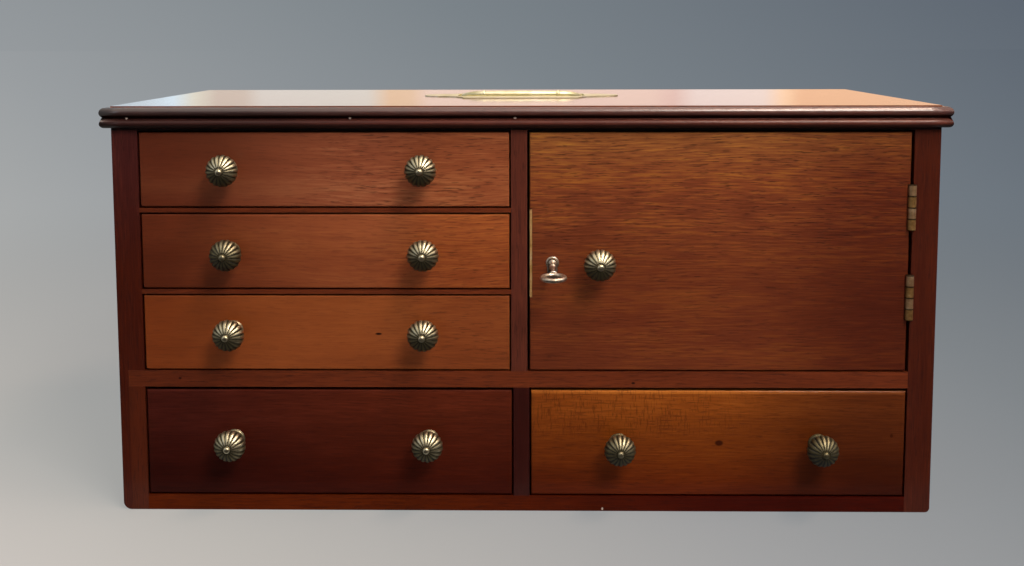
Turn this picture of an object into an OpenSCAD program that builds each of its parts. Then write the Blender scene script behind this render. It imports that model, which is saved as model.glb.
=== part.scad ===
// Table-top specimen chest in mahogany: three shallow drawers over a deep one on the left,
// a locking cupboard over a second deep drawer on the right, and a flush brass handle in the top.
// Origin at the centre of the underside. +X right, +Y back, +Z up. All sizes in millimetres.

/* [Case] */
// Width of the case over its two sides
body_w = 560; // [520:5:640]
// Depth of the case, front edge to back
body_d = 245; // [225:5:300]
// Height of the case, underside to top surface
body_h = 282; // [274:1:310]
// Thickness of the case sides
side_t = 17.5; // [16:0.5:20]
// Thickness of the top board
top_t = 16.5; // [15:0.5:20]
// Thickness of the bottom board
bottom_t = 10.8; // [10:0.2:14]
// Height of the deep drawers' openings
deep_open_h = 77; // [70:1:84]
// Thickness of the middle shelf
shelf_t = 11.4; // [10:0.2:14]
// Thickness of the upright partitions
partition_t = 11; // [10.5:0.5:14]
// Centre of the upper partition, from the middle of the case
upper_partition_x = -3.4; // [-12:0.2:6]
// Centre of the lower partition, from the middle of the case
lower_partition_x = -2; // [-12:0.2:6]
// Height of the lowest small drawer's opening
small_bottom_open_h = 53.9; // [50:0.1:56]
// Height of the middle small drawer's opening
small_middle_open_h = 53.3; // [50:0.1:56]
// Thickness of the dividers between the small drawers
divider_t = 3; // [2.5:0.1:4]
// Thickness of the back panel
back_t = 6; // [5:0.5:8]
// Radius of the lower outer corner of the left side
left_corner_r = 5.5; // [2:0.5:7]
// Radius of the lower outer corner of the right side
right_corner_r = 3; // [2:0.5:7]

/* [Joints in the case] */
// Depth of the housings cut into the sides
housing_d = 6; // [4:0.5:7]
// Depth of the shelf's housing in the left side, which shows at the front
through_housing_d = 11.2; // [8:0.2:12]
// Depth of the dividers' housings
divider_housing_d = 3; // [2:0.5:3.5]
// Length of the stubs that hold the partitions
stub_h = 3.5; // [2.5:0.5:4]
// Distance that a hidden housing stops short of the front
stopped_d = 12; // [8:1:16]
// Width of the back panel's rebate
back_rebate = 8; // [6:0.5:9]
// Clearance of every glued joint
joint_fit = 0.1; // [0.05:0.05:0.2]

/* [Edge moulding] */
// How far the moulding stands out from the case
moulding_out = 6; // [5:0.5:9]
// Radius of the upper bead
upper_bead_r = 3.5; // [3:0.1:3.8]
// Radius of the lower bead
lower_bead_r = 3.2; // [2.8:0.1:3.4]
// Drop from the top surface to the upper bead
bead_drop = 0.8; // [0.4:0.1:1.4]

/* [Drawers] */
// Thickness of the drawer fronts
front_t = 14; // [12:0.5:16]
// Thickness of the drawer sides
lining_t = 7; // [6:0.5:9]
// Thickness of the drawer backs
drawer_back_t = 6; // [5:0.5:8]
// Thickness of the drawer bottoms
panel_t = 4; // [3:0.5:5]
// Height of the drawer bottom above the lower edge of the sides
panel_rise = 3.5; // [3:0.5:5]
// Depth of the grooves that hold the drawer bottom
groove_d = 3; // [2:0.5:4]
// Wood left in front of the lapped dovetails
lap_t = 4; // [3:0.5:5]
// Gap at each side of a drawer
drawer_side_gap = 1.2; // [0.8:0.1:1.6]
// Gap over the front of a small drawer
small_head_gap = 1.3; // [1:0.1:2]
// Gap over the front of a deep drawer
deep_head_gap = 2.2; // [1:0.1:3]
// Gap under a drawer front
front_foot_gap = 1.1; // [0.8:0.1:1.6]
// Running clearance under the drawer sides
running_gap = 0.3; // [0.2:0.05:0.5]
// Gap between a pushed-in drawer and the back panel
rear_gap = 0.4; // [0.3:0.1:1]
// How much the drawer back is lower than the sides
back_drop = 3; // [2:0.5:6]
// Width of the bevel that wear has left round a front
arris = 0.6; // [0.3:0.1:1.2]
// Radius of the worn lower left corner of the small fronts
worn_corner_r = 2.5; // [1.5:0.5:4]

/* [Knobs] */
// Radius of the reeded head
knob_r = 10.75; // [9:0.25:13]
// How far the knob stands out from the front
knob_out = 25; // [22:0.5:30]
// Number of reeds round the head
knob_reeds = 18; // [12:1:20]
// Depth of the grooves between the reeds
reed_d = 1.1; // [0.5:0.1:1.5]
// Radius of the round foot
knob_foot_r = 6.75; // [5:0.25:8]
// Radius of the neck
knob_neck_r = 3.4; // [2.8:0.1:4]
// Radius of the shank that screws into the wood
knob_shank_r = 2; // [1.5:0.1:2.5]
// Length of that shank
knob_shank_l = 9; // [6:0.5:10]

/* [Door] */
// Thickness of the door
door_t = 16; // [15.5:0.5:18]
// Gap at the lock edge of the door
door_lock_gap = 1.7; // [1.2:0.1:2.5]
// Gap at the hinge edge of the door
door_hinge_gap = 2; // [1.6:0.1:2.4]
// Gap over the door
door_head_gap = 1.5; // [1:0.1:2.5]
// Gap under the door
door_foot_gap = 1; // [0.6:0.1:2]
// Knob centre, from the door's lock edge
door_knob_in = 47; // [42:1:60]
// Knob centre, from the door's lower edge
door_knob_up = 75.7; // [60:1:100]

/* [Hinges] */
// Length of a hinge
hinge_l = 31; // [28:1:38]
// Distance from the door's end to the middle of a hinge
hinge_in = 51; // [40:1:60]
// Radius of the knuckles
knuckle_r = 2.65; // [2.4:0.05:3]
// Number of knuckles, shared by the two leaves
knuckles = 4; // [4:1:5]
// Thickness of the leaves
leaf_t = 1.2; // [1:0.1:1.4]
// Width of a leaf, from the pin
leaf_w = 15; // [13:0.5:17]
// Radius of the hinge pin
hinge_pin_r = 1.2; // [1:0.05:1.4]
// How far the pin's centre stands in front of the case
hinge_pin_out = 1.2; // [0.9:0.1:1.6]
// Radial clearance of a pin that turns
running_fit = 0.05; // [0.02:0.01:0.08]

/* [Lock] */
// Width of the lock plate, away from the edge
lock_w = 38; // [37:1:44]
// Height of the lock plate
lock_h = 60.4; // [56:0.4:66]
// Thickness of the lock plate
lock_plate_t = 1.8; // [1.4:0.1:2.2]
// Middle of the lock, from the door's lower edge
lock_up = 81; // [74:1:96]
// Keyhole centre, from the door's lock edge
backset = 15.4; // [15:0.1:16.5]
// Keyhole centre, below the middle of the lock
keyhole_drop = 6.5; // [6:0.1:7]
// Depth of the lock's cap, in front of its plate
cap_d = 9.7; // [9.4:0.1:10]
// Thickness of the cap's sheet
cap_t = 1; // [0.8:0.1:1.2]
// Height of the bolt
bolt_h = 9; // [8:0.5:10]
// Thickness of the bolt's tail
bolt_t = 3.3; // [3:0.1:3.6]
// Length of the bolt
bolt_l = 30; // [29:0.5:31]
// How far the bolt comes out
bolt_throw = 6; // [5:0.5:6]
// How far the bolt draws in behind its rest place
bolt_draw = 2; // [1:0.5:2]

/* [Key] */
// Radius of the key's shank
shank_r = 2.2; // [2:0.05:2.4]
// Radius of the pin that the pipe of the key goes over
drill_pin_r = 1.05; // [0.9:0.05:1.1]
// Radius of the hole in the pipe
pipe_r = 1.5; // [1.4:0.05:1.6]
// Reach of the key's bit from its axis
bit_r = 7; // [6.5:0.1:7]
// Thickness of the bit
bit_t = 1.6; // [1.4:0.1:1.8]
// Distance from the door's face to the middle of the bow
bow_out = 40; // [34:1:50]
// Radius of the middle line of the bow
bow_r = 7.3; // [6.5:0.1:9]
// Radius of the bow's round section
bow_wire_r = 1.6; // [1.3:0.1:2]
// Angle by which the key hangs down in its worn lock
key_droop = 3; // [0:0.5:3]

/* [Carrying handle] */
// Handle centre, from the middle of the case
handle_x = -3; // [-20:1:20]
// Handle centre, behind the middle of the case
handle_y = 14; // [-10:1:20]
// Length of the handle plate over its shaped ends
plate_l = 152; // [146:1:170]
// Width of the handle plate
plate_w = 84; // [78:1:96]
// Thickness of the handle plate
plate_t = 2; // [1.6:0.1:2.6]
// How far the handle plate stands above the top surface
plate_proud = 0.7; // [0.3:0.1:1]
// Length of the sunk cup, inside
cup_l = 99; // [94:1:102]
// Width of the sunk cup, inside
cup_w = 38; // [36:1:44]
// Depth of the cup below the plate's surface
cup_d = 8; // [7:0.1:9]
// Thickness of the cup's walls and floor
cup_wall = 1.6; // [1.4:0.1:2]
// Radius of the bail's bent bar
bail_r = 2.5; // [2.2:0.1:2.8]
// Radius of the bail's grip in the middle
grip_r = 2.8; // [2.6:0.1:3.2]
// Angle at which the bail rests, its grip above the plate
bail_rise = 13; // [10:1:16]
// Radius of the trunnions that the bail turns on
trunnion_r = 1.5; // [1.3:0.1:1.7]

/* [Hidden] */
$fn = 48;

dark_wood = "#4a1f1a";
case_wood = "#552218";
warm_wood = "#6d3216";
lining_wood = "#a9804f";
brass = "#a8925a";
pale_brass = "#cdbf93";
antique_brass = "#7d7355";

// Case levels and faces
front_y = -body_d / 2;
back_y = body_d / 2;
inner_back_y = back_y - back_t;
inner_x = body_w / 2 - side_t;
head_z = body_h - top_t;
shelf_z = bottom_t + deep_open_h;
shelf_top_z = shelf_z + shelf_t;
lower_divider_z = shelf_top_z + small_bottom_open_h;
upper_divider_z = lower_divider_z + divider_t + small_middle_open_h;
tongue_t = side_t / 3;
tongue_h = 5;
divider_stop_d = 8;
past = 1; // how far a cutting shape runs past the face that it opens

// Each bay is [left x, right x, floor z, head z]
upper_bay = [-inner_x, upper_partition_x - partition_t / 2];
small_top = [upper_bay[0], upper_bay[1], upper_divider_z + divider_t, head_z];
small_middle = [upper_bay[0], upper_bay[1], lower_divider_z + divider_t, upper_divider_z];
small_bottom = [upper_bay[0], upper_bay[1], shelf_top_z, lower_divider_z];
deep_left = [-inner_x, lower_partition_x - partition_t / 2, bottom_t, shelf_z];
deep_right = [lower_partition_x + partition_t / 2, inner_x, bottom_t, shelf_z];
cupboard = [upper_partition_x + partition_t / 2, inner_x, shelf_top_z, head_z];

// The maker bored the knobs by eye: [in from the left end, in from the right end, up as a share of the front]
small_top_bores = [59.7, 58.7, 0.513];
small_middle_bores = [60.6, 57.6, 0.495];
small_bottom_bores = [61.2, 58.1, 0.532];
deep_left_bores = [60.4, 57.2, 0.529];
deep_right_bores = [60.1, 59.0, 0.498];
small_tails = 3;
deep_tails = 4;
tail_slope = 1 / 6;
bore_fit = 0.05;

// Door and hinge places
door_x = [cupboard[0] + door_lock_gap, cupboard[1] - door_hinge_gap];
door_z = [cupboard[2] + door_foot_gap, cupboard[3] - door_head_gap];
door_back_y = front_y + door_t;
hinge_x = inner_x - door_hinge_gap / 2;
hinge_y = front_y - hinge_pin_out;
hinge_zs = [door_z[0] + hinge_in, door_z[1] - hinge_in];
knuckle_l = hinge_l / knuckles;
knuckle_gap = 0.15;
knuckle_room = 0.4;
hinge_screw_r = 0.9;
hinge_screw_l = 9;
hinge_screw_head_r = 1.9;
hinge_screw_zs = [-hinge_l * 0.34, 0, hinge_l * 0.34];
hinge_screw_y = hinge_y + leaf_w * 0.62;

// Lock places
lock_z = door_z[0] + lock_up;
lock_x = door_x[0] + backset;
key_z = lock_z - keyhole_drop;
plate_front_y = door_back_y - lock_plate_t;
cap_front_y = plate_front_y - cap_d;
cap_x = [door_x[0] + lock_plate_t, door_x[0] + lock_w - 4];
cap_z = [key_z - bit_r - cap_t - 1.2, key_z + 18];
pivot_in = 10;
pin_z = key_z + pivot_in * tan(key_droop);
bolt_z = key_z + bit_r / 2;
bolt_y = [plate_front_y - 0.3 - bolt_t, plate_front_y - 0.3];
bolt_head_l = 7.2;
bolt_head_t = 7;
talon_x = [lock_x - 3.9, lock_x + 7.9];
talon_h = pin_z + bit_r + 0.7 - bolt_z;
stump_r = 1;
stump_x = lock_x + 1;
stump_z = bolt_z + bolt_h - 2;
lock_screw_r = 1.1;
lock_screw_l = 8;
lock_screw_head_r = 2.3;
lock_screw_up = lock_h / 2 - 4.5;
lock_screw_spots = [
  for (x = [door_x[0] + 14, door_x[0] + lock_w - 5], z = [-1, 1])
  [x, lock_z + z * lock_screw_up]
];
edge_screw_y = door_back_y - door_t / 2;
wood_fit = 0.15;

// Keyhole: a round over a slot with a round lower end
hole_r = 3.1;
slot_r = 2.1;
slot_drop = 5.6;
ring_wall = 1.4;
escutcheon_t = 3;
escutcheon_proud = 0.8;

// Key, along its own axis from the pivot over the drill pin
key_in = 13.4;
bit_l = 4.2;
pipe_l = 9;
key_step = pivot_in + 1; // where the full shank narrows
key_bead = 21.3; // middle of the bead
key_bead_half = 1.3;
key_flare = 9; // length of the flare under the bow

// Carrying handle
handle_z = body_h + plate_proud;
corner_r = 5;
trunnion_l = 3;
trunnion_wall = 4.2;
bail_arm = 18; // from the pivot to the grip
bail_bend = 16; // radius of the bail's corners
eye_r = bail_r + 1;
bail_half = cup_l / 2 - eye_r - 0.4;
pivot_y = handle_y + cup_w / 2 - 6.5;
pivot_z = handle_z - 3.2;
rest_in = 7; // where the bail rests, in front of the pivot
rest_z = pivot_z + rest_in * sin(bail_rise) - bail_r / cos(bail_rise) - 0.15;
plate_screw_r = 1.5;
plate_screw_head_r = 3;
plate_screw_l = 12;
plate_reach = (plate_l - cup_l) / 2; // how far the plate goes beyond the cup at each end
plate_tip_l = plate_reach * 0.415; // from the step to the plate's end
plate_tip_r = plate_tip_l - 2; // the rounded point at each end
plate_neck = plate_tip_l + 2; // from the point to the narrowest part of the waist
plate_scallop = 19.5; // length of the hollow corners
plate_waist = plate_w * 0.19;
plate_step = 2.5; // the step between the waist and the point
shoulder = plate_l / 2 - plate_neck - plate_scallop;
lug_x = cup_l / 2 + trunnion_wall;
plate_screw_gap = (plate_l / 2 - plate_tip_l - lug_x - 2 * plate_screw_head_r) / 3;
plate_screw_x = lug_x + plate_screw_gap + plate_screw_head_r;
plate_screw_y = plate_waist - plate_screw_head_r - 0.5;
plate_screw_spots = [for (sx = [-1, 1], sy = [-1, 1]) [sx * plate_screw_x, sy * plate_screw_y]];

// Basic shapes

// A box between two corners, each given as a pair for x, y and z
module span(x, y, z) translate([x[0], y[0], z[0]]) cube([x[1] - x[0], y[1] - y[0], z[1] - z[0]]);

// A cylinder along Y, between two values of y
module rod_y(x, z, y, r) translate([x, y[1], z]) rotate([90, 0, 0]) cylinder(h = y[1] - y[0], r = r);

// A cylinder along X, between two values of x
module rod_x(x, y, z, r) translate([x[0], y, z]) rotate([0, 90, 0]) cylinder(h = x[1] - x[0], r = r);

// A screw pointing down, its flat head level with z = 0 and slotted
module screw(r, l, head_r) difference() {
  union() {
    translate([0, 0, -l]) cylinder(h = l, r = r);
    translate([0, 0, r - head_r]) cylinder(h = head_r - r, r1 = r, r2 = head_r);
  }
  translate([-head_r - past, -head_r * 0.13, -head_r * 0.25])
    cube([2 * (head_r + past), head_r * 0.26, head_r]);
}

// The hole and the countersink that a screw sits in
module screw_hole(r, l, head_r) union() {
  translate([0, 0, -l - bore_fit]) cylinder(h = l + past, r = r + bore_fit);
  translate([0, 0, r - head_r])
    cylinder(h = head_r - r + past, r1 = r + bore_fit, r2 = head_r + past + bore_fit);
}

// Case

// A side board, drawn at the left, with its bottom corner rounded and its tongue for the top
module side_blank(r) {
  difference() {
    span([-body_w / 2, -inner_x], [front_y, back_y], [0, head_z]);
    difference() {
      span([-body_w / 2 - past, -body_w / 2 + r], [front_y - past, back_y + past], [-past, r]);
      rod_y(-body_w / 2 + r, r, [front_y - 2 * past, back_y + 2 * past], r);
    }
    span([-inner_x - housing_d - joint_fit, -inner_x + past], [front_y + stopped_d, back_y + past],
         [-past, bottom_t + joint_fit]);
    span([-inner_x - back_rebate, -inner_x + past], [inner_back_y, back_y + past],
         [bottom_t / 2, head_z + past]);
  }
  span([-inner_x - 2 * tongue_t, -inner_x - tongue_t], [front_y + stopped_d, inner_back_y],
       [head_z - past, head_z + tongue_h]);
}

module side_left() color(case_wood) difference() {
  side_blank(left_corner_r);
  span([-inner_x - through_housing_d - joint_fit, -inner_x + past], [front_y - past, inner_back_y + past],
       [shelf_z - joint_fit / 2, shelf_top_z + joint_fit / 2]);
  divider_housings(-inner_x - divider_housing_d - joint_fit, -inner_x + past);
}

module side_right() color(case_wood) difference() {
  mirror([1, 0, 0]) side_blank(right_corner_r);
  span([inner_x - past, inner_x + housing_d + joint_fit],
       [front_y + stopped_d - joint_fit, inner_back_y + past],
       [shelf_z - joint_fit / 2, shelf_top_z + joint_fit / 2]);
  hinge_mortises(1);
  hinge_screw_holes(1);
}

// The grooves for both dividers, between two values of x
module divider_housings(x0, x1) for (z = [lower_divider_z, upper_divider_z])
  span([x0, x1], [front_y + divider_stop_d - joint_fit, inner_back_y + past],
       [z - joint_fit / 2, z + divider_t + joint_fit / 2]);

module bottom_board() color(case_wood) difference() {
  union() {
    span([-inner_x, inner_x], [front_y, back_y], [0, bottom_t]);
    span([-inner_x - housing_d, inner_x + housing_d], [front_y + stopped_d + joint_fit, back_y],
         [0, bottom_t]);
  }
  span([-inner_x - housing_d - past, inner_x + housing_d + past], [inner_back_y, back_y + past],
       [bottom_t / 2, bottom_t + past]);
  stub_housings(lower_partition_x, bottom_t - stub_h - joint_fit, bottom_t + past);
}

// The groove that a partition's stub sits in
module stub_housings(x, z0, z1)
  span([x - partition_t / 4 - joint_fit, x + partition_t / 4 + joint_fit],
       [front_y + stopped_d - joint_fit, inner_back_y + past], [z0, z1]);

module middle_shelf() color(case_wood) difference() {
  union() {
    span([-inner_x - through_housing_d, inner_x], [front_y, inner_back_y], [shelf_z, shelf_top_z]);
    span([0, inner_x + housing_d], [front_y + stopped_d, inner_back_y], [shelf_z, shelf_top_z]);
  }
  stub_housings(upper_partition_x, shelf_top_z - stub_h - joint_fit, shelf_top_z + past);
  stub_housings(lower_partition_x, shelf_z - past, shelf_z + stub_h + joint_fit);
}

// A partition with a stub at each end
module partition(x, z0, z1) {
  span([x - partition_t / 2, x + partition_t / 2], [front_y, inner_back_y], [z0, z1]);
  span([x - partition_t / 4, x + partition_t / 4], [front_y + stopped_d, inner_back_y],
       [z0 - stub_h, z1 + stub_h]);
}

module upper_partition() color(case_wood) difference() {
  partition(upper_partition_x, shelf_top_z, head_z);
  divider_housings(upper_bay[1] - past, upper_bay[1] + divider_housing_d + joint_fit);
  bolt_mortise();
}

// The pocket that the thrown bolt enters
module bolt_mortise()
  span([cupboard[0] - bolt_throw, cupboard[0] + past], [bolt_y[1] - bolt_head_t - 0.8, bolt_y[1] + 0.8],
       [bolt_z - 0.8, bolt_z + bolt_h + 0.8]);

module lower_partition() color(case_wood) partition(lower_partition_x, bottom_t, shelf_z);

// A thin divider let into the left side and the upper partition
module divider(z) color(dark_wood) {
  span([upper_bay[0], upper_bay[1]], [front_y, inner_back_y], [z, z + divider_t]);
  span([upper_bay[0] - divider_housing_d, upper_bay[1] + divider_housing_d],
       [front_y + divider_stop_d, inner_back_y], [z, z + divider_t]);
}

module upper_divider() divider(upper_divider_z);
module lower_divider() divider(lower_divider_z);

module back_panel() color(dark_wood)
  span([-inner_x - back_rebate + joint_fit, inner_x + back_rebate - joint_fit],
       [inner_back_y + joint_fit, back_y], [bottom_t / 2 + joint_fit, head_z + back_rebate - joint_fit]);

module top_board() color(warm_wood) difference() {
  span([-body_w / 2, body_w / 2], [front_y, back_y], [head_z, body_h]);
  for (s = [-1, 1]) span(
    s > 0 ? [inner_x + tongue_t - joint_fit, inner_x + 2 * tongue_t + joint_fit]
          : [-inner_x - 2 * tongue_t - joint_fit, -inner_x - tongue_t + joint_fit],
    [front_y + stopped_d - joint_fit, inner_back_y + past], [head_z - past, head_z + tongue_h + joint_fit]);
  stub_housings(upper_partition_x, head_z - past, head_z + stub_h + joint_fit);
  span([-inner_x - back_rebate, inner_x + back_rebate], [inner_back_y, back_y + past],
       [head_z - past, head_z + back_rebate]);
  handle_recess();
}

// Edge moulding

// The two beads in section: out from the case, and up
function bead_arc(c, r, a0, a1, n) = [
  for (i = [0:n]) let (a = a0 + (a1 - a0) * i / n) [c[0] + r * cos(a), c[1] + r * sin(a)]
];
upper_bead_c = [moulding_out - upper_bead_r, body_h - bead_drop - upper_bead_r];
quirk = 0.5; // the flat groove between the beads
bead_pitch = upper_bead_r + lower_bead_r + quirk;
lower_bead_c = [moulding_out - lower_bead_r, upper_bead_c[1] - bead_pitch];
bead_section = concat(
  [[joint_fit, lower_bead_c[1] - lower_bead_r]],
  bead_arc(lower_bead_c, lower_bead_r, -90, 62, 14),
  bead_arc(upper_bead_c, upper_bead_r, -64, 130, 16),
  [[joint_fit, upper_bead_c[1] + upper_bead_r * 0.4]]
);

// The section swept along Y for a given length, standing out towards -X, its foot on x = 0
module bead_run(l) rotate([90, 0, 0]) translate([0, 0, -l / 2])
  linear_extrude(height = l) mirror([1, 0]) polygon(bead_section);

// Everything on one side of a vertical plane at 45 degrees through the front left corner of the case
module beyond_mitre(side) translate([-body_w / 2, front_y, 0]) rotate([0, 0, 45])
  translate([-body_w, side > 0 ? joint_fit / 2 : -body_w - joint_fit / 2, -past])
    cube([2 * body_w, body_w, body_h + 2 * past]);

module moulding_left() color(dark_wood) difference() {
  translate([-body_w / 2, -moulding_out, 0]) bead_run(body_d + 2 * moulding_out);
  beyond_mitre(-1);
  span([-body_w, 0], [back_y, back_y + body_d], [0, body_h]);
}

module moulding_right() mirror([1, 0, 0]) moulding_left();

module moulding_front() color(dark_wood) difference() {
  translate([0, front_y, 0]) rotate([0, 0, 90]) bead_run(body_w + 2 * moulding_out);
  beyond_mitre(1);
  mirror([1, 0, 0]) beyond_mitre(1);
}

// Knobs

// Radius of the head at an angle from its pole and an angle round it: an oval with grooves between reeds
head_half = 8.4;
boss_r = 2.2;
dimple = 0.7;
function reed(a) = 1 - pow(abs(cos(a * knob_reeds / 2)), 6);
function head_radius(t, a) = knob_r * cos(t) - reed_d * cos(t) * (1 - reed(a));

// The reeded head: rings of points from the neck to the boss, closed by a shallow dimple at each end
module knob_head(rings = 6, per_reed = 4) {
  sides = knob_reeds * per_reed;
  ts = [for (i = [0:rings]) -62 + i * 134 / rings];
  ring_pts = [for (t = ts) for (j = [0:sides - 1]) let (a = 360 * j / sides, r = head_radius(t, a))
    [r * cos(a), r * sin(a), head_half * sin(t)]];
  low = len(ring_pts);
  ends = [[0, 0, head_half * sin(ts[0]) + dimple], [0, 0, head_half * sin(ts[rings]) - dimple]];
  walls = [for (i = [0:rings - 1]) for (j = [0:sides - 1]) let (k = (j + 1) % sides)
    each [[i * sides + j, (i + 1) * sides + j, i * sides + k],
          [(i + 1) * sides + j, (i + 1) * sides + k, i * sides + k]]];
  fans = [for (j = [0:sides - 1]) let (k = (j + 1) % sides)
    each [[j, k, low], [rings * sides + k, rings * sides + j, low + 1]]];
  polyhedron(concat(ring_pts, ends), concat(walls, fans), convexity = 4);
}

// A whole knob standing on z = 0: shank, foot, neck, reeded head and centre boss
module knob() {
  top = knob_out;
  head_z0 = top - 1.6 - head_half;
  union() {
    rotate_extrude() polygon([
      [0, -knob_shank_l], [knob_shank_r, -knob_shank_l], [knob_shank_r, 0],
      [knob_foot_r, 0], [knob_foot_r, 1.1], [knob_foot_r - 0.5, 1.7], [knob_foot_r - 1.5, 2.1],
      [knob_neck_r + 0.5, 2.6], [knob_neck_r, 3.6], [knob_neck_r, 5.6],
      [knob_neck_r + 0.6, head_z0 - head_half * 0.8],
      [boss_r, head_z0], [boss_r, top - 1.2], [boss_r - 0.3, top - 0.6], [boss_r - 1, top - 0.15], [0, top]
    ]);
    translate([0, 0, head_z0]) knob_head();
  }
}

// A knob on the front at x and z
module front_knob(x, z) translate([x, front_y, z]) rotate([90, 0, 0]) knob();

// The hole for a knob's shank
module knob_bore(x, z) rod_y(x, z, [front_y - past, front_y + knob_shank_l + 0.3], knob_shank_r + bore_fit);

// Drawers. Each takes its bay, the gap over its front, its count of tails and its knob bores

function drawer_x(bay) = [bay[0] + drawer_side_gap, bay[1] - drawer_side_gap];
function front_z(bay, head) = [bay[2] + front_foot_gap, bay[3] - head];
function knob_row(bay, head, bores) = front_z(bay, head)[0]
  + bores[2] * (front_z(bay, head)[1] - front_z(bay, head)[0]);
function side_z(bay, head) = [bay[2] + running_gap, bay[3] - head - 1];
function panel_z(bay) = [bay[2] + running_gap + panel_rise, bay[2] + running_gap + panel_rise + panel_t];
drawer_rear_y = inner_back_y - rear_gap;

// Tails in a column, their roots on x = 0 and their ends at x = l, across a height h
module tails(n, l, h, grow = 0) {
  pitch = h / n;
  root = pitch * 0.26;
  for (i = [0:n - 1]) translate([0, (i + 0.5) * pitch]) polygon([
    [-past, -root - grow], [0, -root - grow], [l + grow, -root - l * tail_slope - grow],
    [l + grow, root + l * tail_slope + grow], [0, root + grow], [-past, root + grow]
  ]);
}

// The front dovetails of the side at x, running forward from the back of the drawer front
module front_tails(x, z, n, grow = 0) translate([x[0], front_y + front_t, z[0]]) rotate([90, 0, 90])
  linear_extrude(height = x[1] - x[0]) mirror([1, 0]) tails(n, front_t - lap_t, z[1] - z[0], grow);

// The rear dovetails of the side at x, running back from the inside of the drawer back
module rear_tails(x, z, n, grow = 0)
  translate([x[0], drawer_rear_y - drawer_back_t, z[0]]) rotate([90, 0, 90])
  linear_extrude(height = x[1] - x[0]) tails(n, drawer_back_t + past, z[1] - z[0], grow);

function left_lining(bay) = [drawer_x(bay)[0], drawer_x(bay)[0] + lining_t];
function right_lining(bay) = [drawer_x(bay)[1] - lining_t, drawer_x(bay)[1]];
function front_joint_z(bay, head) = [front_z(bay, head)[0], side_z(bay, head)[1]];
function back_z(bay, head) = [panel_z(bay)[1] + joint_fit, side_z(bay, head)[1] - back_drop];

module drawer_panel(bay, grow = 0) span(
  [left_lining(bay)[1] - groove_d - grow, right_lining(bay)[0] + groove_d + grow],
  [front_y + front_t - groove_d - grow, drawer_rear_y + (grow > 0 ? past : 0)],
  [panel_z(bay)[0] - grow / 2, panel_z(bay)[1] + grow / 2]);

// A bevelled block: its section in plan, and its section from the side, run together
module bevelled_front(x, z) intersection() {
  translate([0, 0, z[0]]) linear_extrude(height = z[1] - z[0]) polygon([
    [x[0], front_y + front_t], [x[0], front_y + arris], [x[0] + arris, front_y],
    [x[1] - arris, front_y], [x[1], front_y + arris], [x[1], front_y + front_t]
  ]);
  translate([x[0], 0, 0]) rotate([90, 0, 90]) linear_extrude(height = x[1] - x[0]) polygon([
    [front_y + front_t, z[0]], [front_y + arris, z[0]], [front_y, z[0] + arris],
    [front_y, z[1] - arris], [front_y + arris, z[1]], [front_y + front_t, z[1]]
  ]);
}

module drawer_front(bay, head, n, bores, worn) difference() {
  x = drawer_x(bay);
  z = front_z(bay, head);
  bevelled_front(x, z);
  front_tails([x[0] - past, x[0] + lining_t + joint_fit], front_joint_z(bay, head), n, joint_fit);
  front_tails([x[1] - lining_t - joint_fit, x[1] + past], front_joint_z(bay, head), n, joint_fit);
  drawer_panel(bay, joint_fit);
  knob_bore(x[0] + bores[0], knob_row(bay, head, bores));
  knob_bore(x[1] - bores[1], knob_row(bay, head, bores));
  if (worn > 0) difference() {
    span([x[0] - past, x[0] + worn], [front_y - past, front_y + lap_t - 0.5], [z[0] - past, z[0] + worn]);
    rod_y(x[0] + worn, z[0] + worn, [front_y - 2 * past, front_y + lap_t + past], worn);
  }
}

module drawer_side(x, bay, head, n) difference() {
  z = side_z(bay, head);
  union() {
    span(x, [front_y + front_t, drawer_rear_y], z);
    front_tails(x, front_joint_z(bay, head), n);
  }
  difference() {
    span([x[0] - past, x[1] + past], [drawer_rear_y - drawer_back_t, drawer_rear_y + past],
         back_z(bay, head));
    rear_tails([x[0] - 2 * past, x[1] + 2 * past], back_z(bay, head), n);
  }
  drawer_panel(bay, joint_fit);
}

module drawer_back(bay, head, n) difference() {
  x = drawer_x(bay);
  z = back_z(bay, head);
  span(x, [drawer_rear_y - drawer_back_t, drawer_rear_y], [z[0] + joint_fit / 2, z[1] - joint_fit / 2]);
  rear_tails([x[0] - past, x[0] + lining_t + joint_fit], z, n, joint_fit);
  rear_tails([x[1] - lining_t - joint_fit, x[1] + past], z, n, joint_fit);
}

module drawer_knobs(bay, head, bores) color(antique_brass) {
  front_knob(drawer_x(bay)[0] + bores[0], knob_row(bay, head, bores));
  front_knob(drawer_x(bay)[1] - bores[1], knob_row(bay, head, bores));
}

module small_top_front() color(warm_wood)
  drawer_front(small_top, small_head_gap, small_tails, small_top_bores, worn_corner_r);
module small_top_side_left() color(lining_wood)
  drawer_side(left_lining(small_top), small_top, small_head_gap, small_tails);
module small_top_side_right() color(lining_wood)
  drawer_side(right_lining(small_top), small_top, small_head_gap, small_tails);
module small_top_back() color(lining_wood) drawer_back(small_top, small_head_gap, small_tails);
module small_top_bottom() color(lining_wood) drawer_panel(small_top);
module small_top_knobs() drawer_knobs(small_top, small_head_gap, small_top_bores);

module small_middle_front() color(warm_wood)
  drawer_front(small_middle, small_head_gap, small_tails, small_middle_bores, worn_corner_r);
module small_middle_side_left() color(lining_wood)
  drawer_side(left_lining(small_middle), small_middle, small_head_gap, small_tails);
module small_middle_side_right() color(lining_wood)
  drawer_side(right_lining(small_middle), small_middle, small_head_gap, small_tails);
module small_middle_back() color(lining_wood) drawer_back(small_middle, small_head_gap, small_tails);
module small_middle_bottom() color(lining_wood) drawer_panel(small_middle);
module small_middle_knobs() drawer_knobs(small_middle, small_head_gap, small_middle_bores);

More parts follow.
